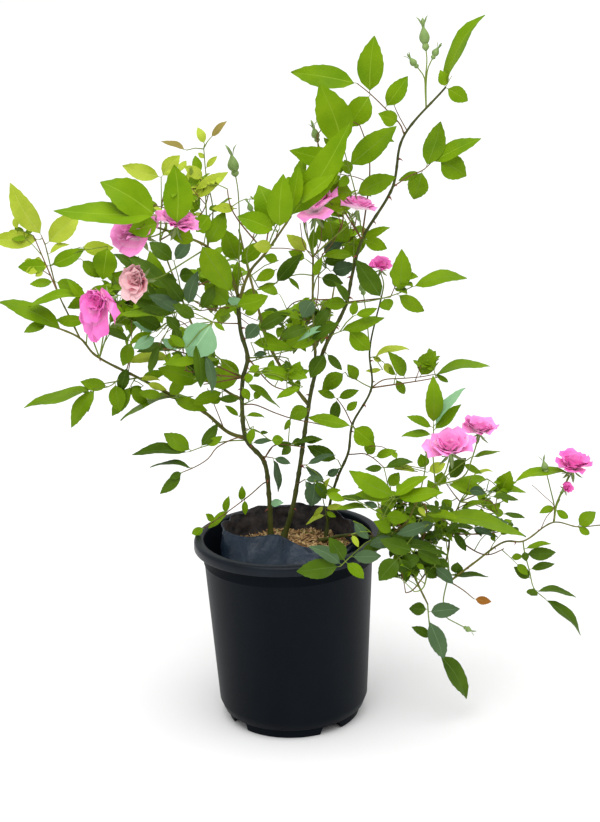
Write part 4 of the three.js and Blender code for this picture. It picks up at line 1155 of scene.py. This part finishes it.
def twig_share(leaves):
    """Where along a twig a leaf stands, counted from its foot."""
    return 0.12 + 0.88 * leaves / LEAVES_ON_TWIG


def outward(turn, side, flat, wide, deep):
    """The way out from the middle of a mass that is wide and deep, at a turn round it."""
    return side * math.cos(turn) * wide + flat * math.sin(turn) * deep


for name, spray in SPRAYS.items():
    if not spray:
        continue
    limb, fork, tip, wide, deep, bow, count, blade, tints = spray
    root = nearest(paths[limb], *fork)
    end = place(*tip)
    line = (end - root).normalized()
    side = ((root + end) / 2 - EYE).normalized().cross(line).normalized()
    oval = side, side.cross(line), wide, deep
    wanted = OPEN_TO_VIEW.get(name, HIDDEN_SHARE)
    twigs = max(1, round(count / LEAVES_ON_TWIG))
    for number in range(twigs):
        turn = math.tau * number / twigs + spray_dice.uniform(-0.5, 0.5)
        aside = outward(turn, *oval) / 1000
        aside *= 0 if twigs == 1 else 0.3
        middle = root.lerp(end, 0.5) + side * bow / 1000 + aside
        twig = smooth_path([root, middle, root.lerp(end, 0.8) + aside * 0.8], PATH_STEP)
        grown = 0
        for i in range(LEAVES_ON_TWIG):
            base = along(twig, twig_share(i + 0.5))
            best = None
            for attempt in range(TRIES):
                turn = GOLDEN_TURN * (i + number) + spray_dice.gauss(0, 0.9)
                out = outward(turn, *oval).normalized()
                leaf = try_leaf(base, line, out, blade, attempt, wanted)
                if best is None or leaf[0] > best[0]:
                    best = leaf
                if leaf[0] > GOOD_SCORE:
                    break
            _, stalk, leaflets, up, inside, hidden = best
            if inside < LEAST_INSIDE or hidden < LEAST_HIDDEN:
                continue
            tint = spray_dice.choice(tints.split())
            shade = stalk_shade(spray_dice, RED_LEAVES)
            if draw_leaf(stalk, leaflets, up, tint, shade, wanted):
                grown = i + 0.6
        if grown:
            steps = max(3, round(len(twig) * twig_share(grown)))
            draw_stalk(twig[:steps], *TWIG, stalk_shade(spray_dice, RED_TWIGS))


# By tint: how rough a leaf is, then the tones of its upper side, rib and underside.
LEAF_TONES = {
    "young": (0.42, ("94a822", "b2c244"), ("a4b448", "bac85c"), ("96a642", "aeba56")),
    "fresh": (0.38, ("5c8205", "7a9a0f"), ("7b9a22", "8aa62e"), ("7b9330", "8ea342")),
    "mid": (0.36, ("57780a", "75960f"), ("658028", "748f30"), ("698238", "7b9248")),
    # This tint is partly the dark of old leaves and partly painted shade, for leaves that lie in shade.
    "deep": (0.33, ("36500b", "506c16"), ("4e6a28", "5c7832"), ("566e3a", "668046")),
    # This tint is partly the leaves' own grey-blue and partly painted sheen, the light that glossy leaves
    # reflect.
    "bluish": (0.5, ("3f5638", "566f4a"), ("5c7652", "6e8862"), ("648068", "789478")),
    # This tint is painted light: a pale blue-green for leaves lit on their upper side.
    "mint": (0.5, ("76a474", "98c497"), ("92ba90", "a4cc9e"), ("96c096", "acd2a8")),
    "red": (0.4, ("84783a", "9a8a48"), ("968a4e", "a8985c"), ("8c8048", "9e9058")),
    "rust": (0.6, ("7a4a1a", "a8702c"), ("a07a40", "b08a4c"), ("96683a", "a87a4c")),
}
BLOSSOM = ("top_buds", "bloom", "left_bloom", "low_bloom", "far_bloom")
replaced_by = {tint: [] for tint in LEAF_TONES}
for name, spray in SPRAYS.items():
    if name not in BLOSSOM:
        replaced_by[spray[-1].split()[0] if spray else "fresh"].append("spray_" + name)
for tint, blades in foliage.items():
    rough, upper, rib, under = LEAF_TONES[tint]
    leaf_mesh = joined_mesh("leaves_" + tint, blades, BLADE)
    for finish in (surface("leaf_" + tint, *upper, 0.03, rough, 0.25, 0.0015, shine=0.06),
                   surface("leaf_rib_" + tint, *rib, 0.02, rough + 0.1, shine=0.06),
                   surface("leaf_under_" + tint, *under, 0.03, 0.65, 0.2, 0.0015, shine=0.05)):
        leaf_mesh.materials.append(finish)
    piece_from("leaves_" + tint, leaf_mesh, "foliage", *replaced_by[tint])


# Blooms: loosely double pink roses of broad thin ruffled petals in whorls round a few
# stamens, on a small green hip with five narrow sepals. Buds are closed in their sepals.
PETAL_CELLS, PETAL_BANDS = 6, 3
PETAL_THICK = 0.00025
CURL_STEPS, CURL_BACK = 40, 26
HIP_SIDES, BUD_SIDES, STAMEN_SIDES = 8, 10, 4
SEPALS, STAMENS, STAMEN_RADII = 5, 14, (0.0002, 0.00018, 0.0004)
BLOOM_HIP = 0.0055, 0.0046
BLOOM_STALK, BUD_STALK = (0.0009, 0.0007), (0.0008, 0.0006)
petal_bm = bmesh.new()
bmesh.ops.create_grid(petal_bm, x_segments=PETAL_CELLS, y_segments=PETAL_CELLS, size=1)
for vert in petal_bm.verts:
    vert.co.y = (vert.co.y + 1) / 2
for face in petal_bm.faces:
    face.material_index = int(face.calc_center_median().y * PETAL_BANDS)
PETAL = two_skins(petal_bm, (3, 4, 5))

petals = {}
petal_dice = random.Random(77)
bud_bm, stamen_bm = bmesh.new(), bmesh.new()


def spoke(axis, turn):
    """An axis at unit length, and the way square to it at a turn round it."""
    axis = Vector(axis).normalized()
    side = axis.orthogonal().normalized()
    return axis, side * math.cos(turn) + axis.cross(side) * math.sin(turn)


def add_petal(tint, centre, axis, turn, length, width, rise, curl, reach, sag):
    """Adds one petal: rise is its slope at the root in degrees, curl how far it bends up by
    its end, reach its start off the axis, and sag how far its end hangs."""
    axis, out = spoke(axis, turn)
    level = axis.cross(out)
    u, v, skin = PETAL[0].T
    steps = np.linspace(0, 1, CURL_STEPS + 1)
    run = np.radians(rise + curl * steps - CURL_BACK * steps ** 3)
    radial = np.concatenate([[0], np.cumsum(np.cos(run[1:]))]) / CURL_STEPS
    height = np.concatenate([[0], np.cumsum(np.sin(run[1:]))]) / CURL_STEPS
    lobes = 1 - 0.12 * np.exp(-((u - 0.15 * petal_dice.gauss(0, 1)) / 0.28) ** 2) * v ** 3
    corner = 1 - 0.3 * np.abs(u) ** 2.6 * v ** 2
    s = v * lobes * corner
    slope = np.interp(s, steps, run)
    r = reach + np.interp(s, steps, radial) * length
    h = np.interp(s, steps, height) * length
    span = 0.2 + 0.8 * np.sin(np.clip(v * 1.75, 0, math.pi / 2)) ** 1.1
    x = u * span * width / 2
    a, b, c = (petal_dice.uniform(0, math.tau) for _ in range(3))
    cup = 0.2 * u ** 2 * width * (1 - 0.4 * v)
    ruffle = width * v ** 2 * (0.07 * np.sin(4.2 * u + a) + 0.05 * np.sin(8.3 * u + 3 * v + b))
    lift = cup + ruffle + skin * PETAL_THICK
    r = r - np.sin(slope) * lift
    h = h + np.cos(slope) * lift
    sway = 0.06 * width * np.sin(3 * v + c)
    spots = (np.array(centre) + np.outer(r, out) + np.outer(h, axis) + np.outer(x + sway, level))
    spots[:, 2] -= sag * length * v ** 2
    petals.setdefault(tint, []).append(spots)


def add_sepal(centre, axis, turn, length, rise):
    """One narrow sepal that starts under the petals."""
    axis, out = spoke(axis, turn)
    slope = math.radians(rise)
    line = out * math.cos(slope) + axis * math.sin(slope)
    facing = axis * math.cos(slope) - out * math.sin(slope)
    start = centre + out * 0.0012
    add_blade("sepal", start, start + line * length, length * 0.3, facing, 0.3,
              -0.12 if rise < 0 else 0.1)


def add_hip(centre, axis, length, width):
    """The green hip under a bloom or bud, which ends at centre."""
    shape = [0.25, 0.7, 1, 0.95, 0.8, 0.55]
    path = [centre - axis * length * (1 - i / 5) for i in range(6)]
    draw_stem(bud_bm, path, [width / 2 * share for share in shape], HIP_SIDES)


# Whorls from the outside in: petals, shares of the radius long and wide, slope when shut and
# when open, and how far they bend up.
WHORLS = [(5, 0.98, 1.12, 62, 12, 10), (5, 0.88, 1.0, 68, 30, 22), (5, 0.72, 0.84, 74, 46, 34),
          (5, 0.52, 0.62, 80, 62, 40), (3, 0.34, 0.42, 86, 76, 30)]


def add_bloom(tint, centre, axis, radius, open_share, droop):
    """A bloom whose whorls stand up when open_share is small and lie flat when it is 1."""
    axis = Vector(axis).normalized()
    spin = petal_dice.uniform(0, math.tau)
    for ring, (count, long_share, wide_share, shut, flat, curl) in enumerate(WHORLS):
        for i in range(count):
            turn = spin + ring * 0.7 + math.tau * i / count + petal_dice.gauss(0, 0.14)
            rise = shut + (flat - shut) * open_share + petal_dice.gauss(0, 7)
            sag = droop * (0.9 if ring == 0 else 0.35 if ring == 1 else 0)
            length = radius * long_share * petal_dice.uniform(0.88, 1.06)
            width = radius * wide_share * petal_dice.uniform(0.9, 1.1)
            add_petal(tint, centre, axis, turn, length, width, rise, curl, radius * 0.05, sag)
    for i in range(SEPALS):
        add_sepal(centre - axis * 0.0006, axis, spin + 0.3 + math.tau * i / SEPALS, radius * 0.6,
                  -14 - 40 * open_share + petal_dice.gauss(0, 8))
    add_hip(centre, axis, *BLOOM_HIP)
    for i in range(STAMENS):
        turn, lean = petal_dice.uniform(0, math.tau), petal_dice.uniform(0.1, 0.5)
        tip = centre + (axis + spoke(axis, turn)[1] * lean) * radius * 0.32
        draw_stem(stamen_bm, [centre, centre.lerp(tip, 0.85), tip], STAMEN_RADII, STAMEN_SIDES)


def add_bud(base, axis, length, width):
    """A closed bud: a ribbed drop of five sepals on a hip."""
    axis = Vector(axis).normalized()
    add_hip(base + axis * length * 0.2, axis, length * 0.34, width * 0.72)
    shape = [0.5, 0.86, 1.0, 0.97, 0.8, 0.55, 0.3, 0.14, 0.05]
    path = [base + axis * length * (0.14 + 0.86 * i / 8) for i in range(9)]

    def ribs(point, turn):
        return 1 + 0.09 * math.cos(SEPALS * turn)

    draw_stem(bud_bm, path, [width / 2 * share for share in shape], BUD_SIDES, ribs)
    for i in range(3):
        add_sepal(base + axis * length * 0.8, axis, 2.1 * i + width * 900, length * 0.5, 62)


# Each row starts with the limb, the fork, the depth at the end and the stalk's way. Blooms add
# tint, axis, radius, how open they are and how far they droop, buds add length and width, and
# bare twigs add their radius.
BLOOMS = [
    ("bough_left_top", (-110, 531), -104, [(-124, 526), (-136, 526)], "pink",
     (-0.35, -0.55, 0.75), 29, 0.75, 0.1),
    ("bough_left_top", (-104, 529), -98, [(-104, 529), (-101, 532)], "pink",
     (0.35, -0.3, 0.9), 24, 0.85, 0),
    ("bough_left_top", (-69, 513), -86, [(-95, 498), (-120, 484), (-136, 482)], "pale",
     (-0.45, -0.8, 0.3), 23, 0.3, 0.25),
    ("bough_left_long", (-186, 403), 6, [(-180, 430), (-176, 462)], "rose",
     (-0.6, -0.75, 0.25), 28, 0.7, 0.9),
    ("bough_bloom", (37, 500), -14, [(38, 520), (42, 542)], "pink", (-0.15, -0.3, 1), 32, 0.85, 0),
    ("bough_bloom", (37, 500), -22, [(54, 515), (70, 528), (82, 541)], "pink",
     (0.25, -0.1, 1), 20, 0.8, 0),
    ("cane_right", (106, 458), 90, [(108, 469), (105, 481)], "rose", (0.0, -0.5, 0.9), 15, 0.45, 0),
    ("bough_low_bloom", (158, 251), -102, [(168, 264), (174, 284)], "pink",
     (-0.05, -0.34, 0.94), 27, 0.72, 0),
    ("bough_low_bloom", (158, 251), -70, [(188, 260), (197, 280), (204, 303)], "pink",
     (0.1, -0.18, 1), 22, 0.65, 0),
    ("bough_far", (284, 205), -50, [(285, 222), (293, 242), (302, 260)], "rose",
     (0.15, -0.25, 0.95), 22, 0.7, 0),
    ("bough_far", (284, 205), -56, [(286, 222), (290, 234), (294, 240)], "rose",
     (0.25, -0.75, 0.6), 9.5, 0.1, 0),
]
BUDS = [
    ("cane_tall", (152, 645), -2, [(153, 668), (155, 690), (154, 702)], 24, 10),
    ("cane_tall", (152, 645), -2, [(154, 668), (156, 682), (161, 692)], 13, 7),
    ("cane_tall", (152, 645), -4, [(153, 664), (152, 674), (145, 684)], 13, 7),
    ("cane_tall", (87, 515), -20, [(66, 560), (50, 598), (45, 616)], 17, 8),
    ("cane_left", (-41, 463), -30, [(-38, 500), (-36, 535), (-36, 570), (-38, 586)], 24, 11),
    ("bough_mid", (-28, 486), -40, [(-30, 506), (-24, 518), (-18, 527), (-23, 547)], 12, 6),
    ("bough_mid", (-11, 505), -46, [(0, 530), (12, 549)], 12, 6),
    ("cane_right", (93, 400), 70, [(90, 432), (87, 460)], 17, 8),
    ("bough_low_bloom", (139, 234), -74, [(146, 262), (150, 284)], 14, 7),
    ("bough_far", (284, 205), -50, [(284, 222), (279, 245), (275, 262)], 14, 7),
    ("cane_low", (170, 144), -62, [(165, 120), (167, 102), (178, 94), (188, 88)], 10, 6),
]
TWIGS = [
    ("bough_left_long", (-62, 321), 26, [(-68, 340), (-77, 366)], 0.7),
    ("cane_left", (-22, 286), 14, [(-16, 295), (-10, 302), (8, 301), (22, 298)], 0.9),
    ("cane_left", (-41, 347), 6, [(-30, 347), (-8, 337), (10, 330), (30, 325), (45, 321)], 0.8),
    ("bough_mid", (-6, 509), -30, [(10, 509), (29, 505)], 0.6),
    ("bough_bloom", (36, 440), 6, [(40, 456), (42, 480), (42, 512)], 0.7),
    ("bough_low_up", (174, 214), 0, [(179, 222), (195, 231), (210, 233), (219, 229), (224, 217)], 0.6),
    ("bough_far", (283, 205), -54, [(285, 219), (290, 231)], 0.6),
    ("cane_tall", (128, 626), -10, [(126, 638), (121, 650)], 0.6),
    ("bough_bloom", (37, 498), -26, [(28, 512), (25, 534)], 0.6),
    ("bough_bloom", (37, 498), -8, [(33, 515), (31, 536)], 0.6),
    ("bough_bloom", (37, 498), -18, [(45, 514), (47, 536)], 0.6),
    ("bough_bloom", (36, 480), -14, [(46, 500), (58, 514), (68, 534)], 0.6),
    ("bough_left_inner", (-90, 438), 20, [(-114, 428), (-126, 412)], 0.5),
    ("bough_left_long", (-158, 386), 30, [(-153, 408), (-151, 441)], 0.6),
    ("cane_left", (-41, 440), -20, [(-30, 431), (-22, 426)], 0.5),
    ("bough_far", (270, 197), -60, [(276, 212), (284, 222), (272, 236), (260, 248)], 0.5),
]


def stalk_path(limb, fork, behind, way):
    """A smooth path from a limb through the places of way, whose depth changes evenly."""
    root = nearest(paths[limb], *fork)
    depth = root.y * 1000
    spots = [root]
    for i, (across, up) in enumerate(way):
        spots.append(place(across, up, depth + (behind - depth) * (i + 1) / len(way)))
    return smooth_path(spots, PATH_STEP)


for *course, tint, axis, radius, open_share, droop in BLOOMS:
    path = stalk_path(*course)
    draw_stalk(path, *BLOOM_STALK)
    centre = Vector(path[-1]) + Vector(axis).normalized() * 0.004
    add_bloom(tint, centre, axis, radius / 1000, open_share, droop)
for *course, length, width in BUDS:
    path = stalk_path(*course)
    draw_stalk(path, *BUD_STALK)
    add_bud(Vector(path[-1]), heading(path, 1), length / 1000, width / 1000)
for *course, thick in TWIGS:
    draw_stalk(stalk_path(*course), thick / 1000, thick / 1400, "red")

# Inner side from base to rim, then outer side from base to rim.
PETAL_COLOURS = {
    "pink": (("fcdce8", "fdeaf2"), ("feb0de", "ffc6e8"), ("fb90d8", "ffa8e2"),
             ("fde8f0", "fef2f6"), ("fcc0e2", "fdd2ea"), ("f99cd8", "fcb4e2")),
    "rose": (("f9bcdc", "fcd0e6"), ("f890d3", "fcaadd"), ("f26ac5", "f88ed5"),
             ("fbd2e6", "fde2ee"), ("f8a0d8", "fcb8e0"), ("f37aca", "fa98d8")),
    "pale": (("d8788e", "e48c9c"), ("ee9caa", "f6b2bc"), ("fac4ca", "ffdcde"),
             ("f3b4bc", "f8c8cc"), ("f6c0c8", "fad2d6"), ("fad0d8", "fde2e4")),
}
PETAL_NODES = {"pink": ("spray_bloom", "spray_left_bloom", "spray_low_bloom"),
               "rose": ("spray_far_bloom",), "pale": ()}
for tint, copies in petals.items():
    petal_mesh = joined_mesh("petals_" + tint, copies, PETAL)
    for band, tones in enumerate(PETAL_COLOURS[tint]):
        petal_mesh.materials.append(surface(f"petal_{tint}_{band}", *tones, 0.012, 0.6, 0.2, 0.001,
                                            0.6, shine=0.2))
    piece_from("petals_" + tint, petal_mesh, "petals", *PETAL_NODES[tint])

sepal_mesh = joined_mesh("sepals", foliage["sepal"], BLADE, banded=False)
bud_green = surface("bud_green", "6f8c4a", "90a868", 0.008, 0.55, 0.2, 0.001, shine=0.15)
sepal_mesh.materials.append(bud_green)
piece_from("sepals", sepal_mesh, "buds")
close_stems(bud_bm)
piece_from("buds", mesh_from("buds", bud_bm, bud_green), "buds", "spray_top_buds")
close_stems(stamen_bm)
stamen_yellow = surface("stamen_yellow", "d8b347", "ecd078", 0.003, 0.7)
piece_from("stamens", mesh_from("stamens", stamen_bm, stamen_yellow), "petals")

# Stalks: the thin twigs and stalks that carry leaves, buds and blooms, green or flushed with
# red, drawn with their leaves above and joined here by colour.
STALK_TONES = {"green": ("5c7420", "82963a"), "red": ("5c4526", "80603a")}
for shade, stalk_bm in stalk_bms.items():
    close_stems(stalk_bm)
    stalk_skin = surface("stalk_" + shade, *STALK_TONES[shade], 0.02, 0.5, 0.2, 0.001, shine=0.15)
    piece_from("stalks_" + shade, mesh_from("stalks_" + shade, stalk_bm, stalk_skin), "foliage")
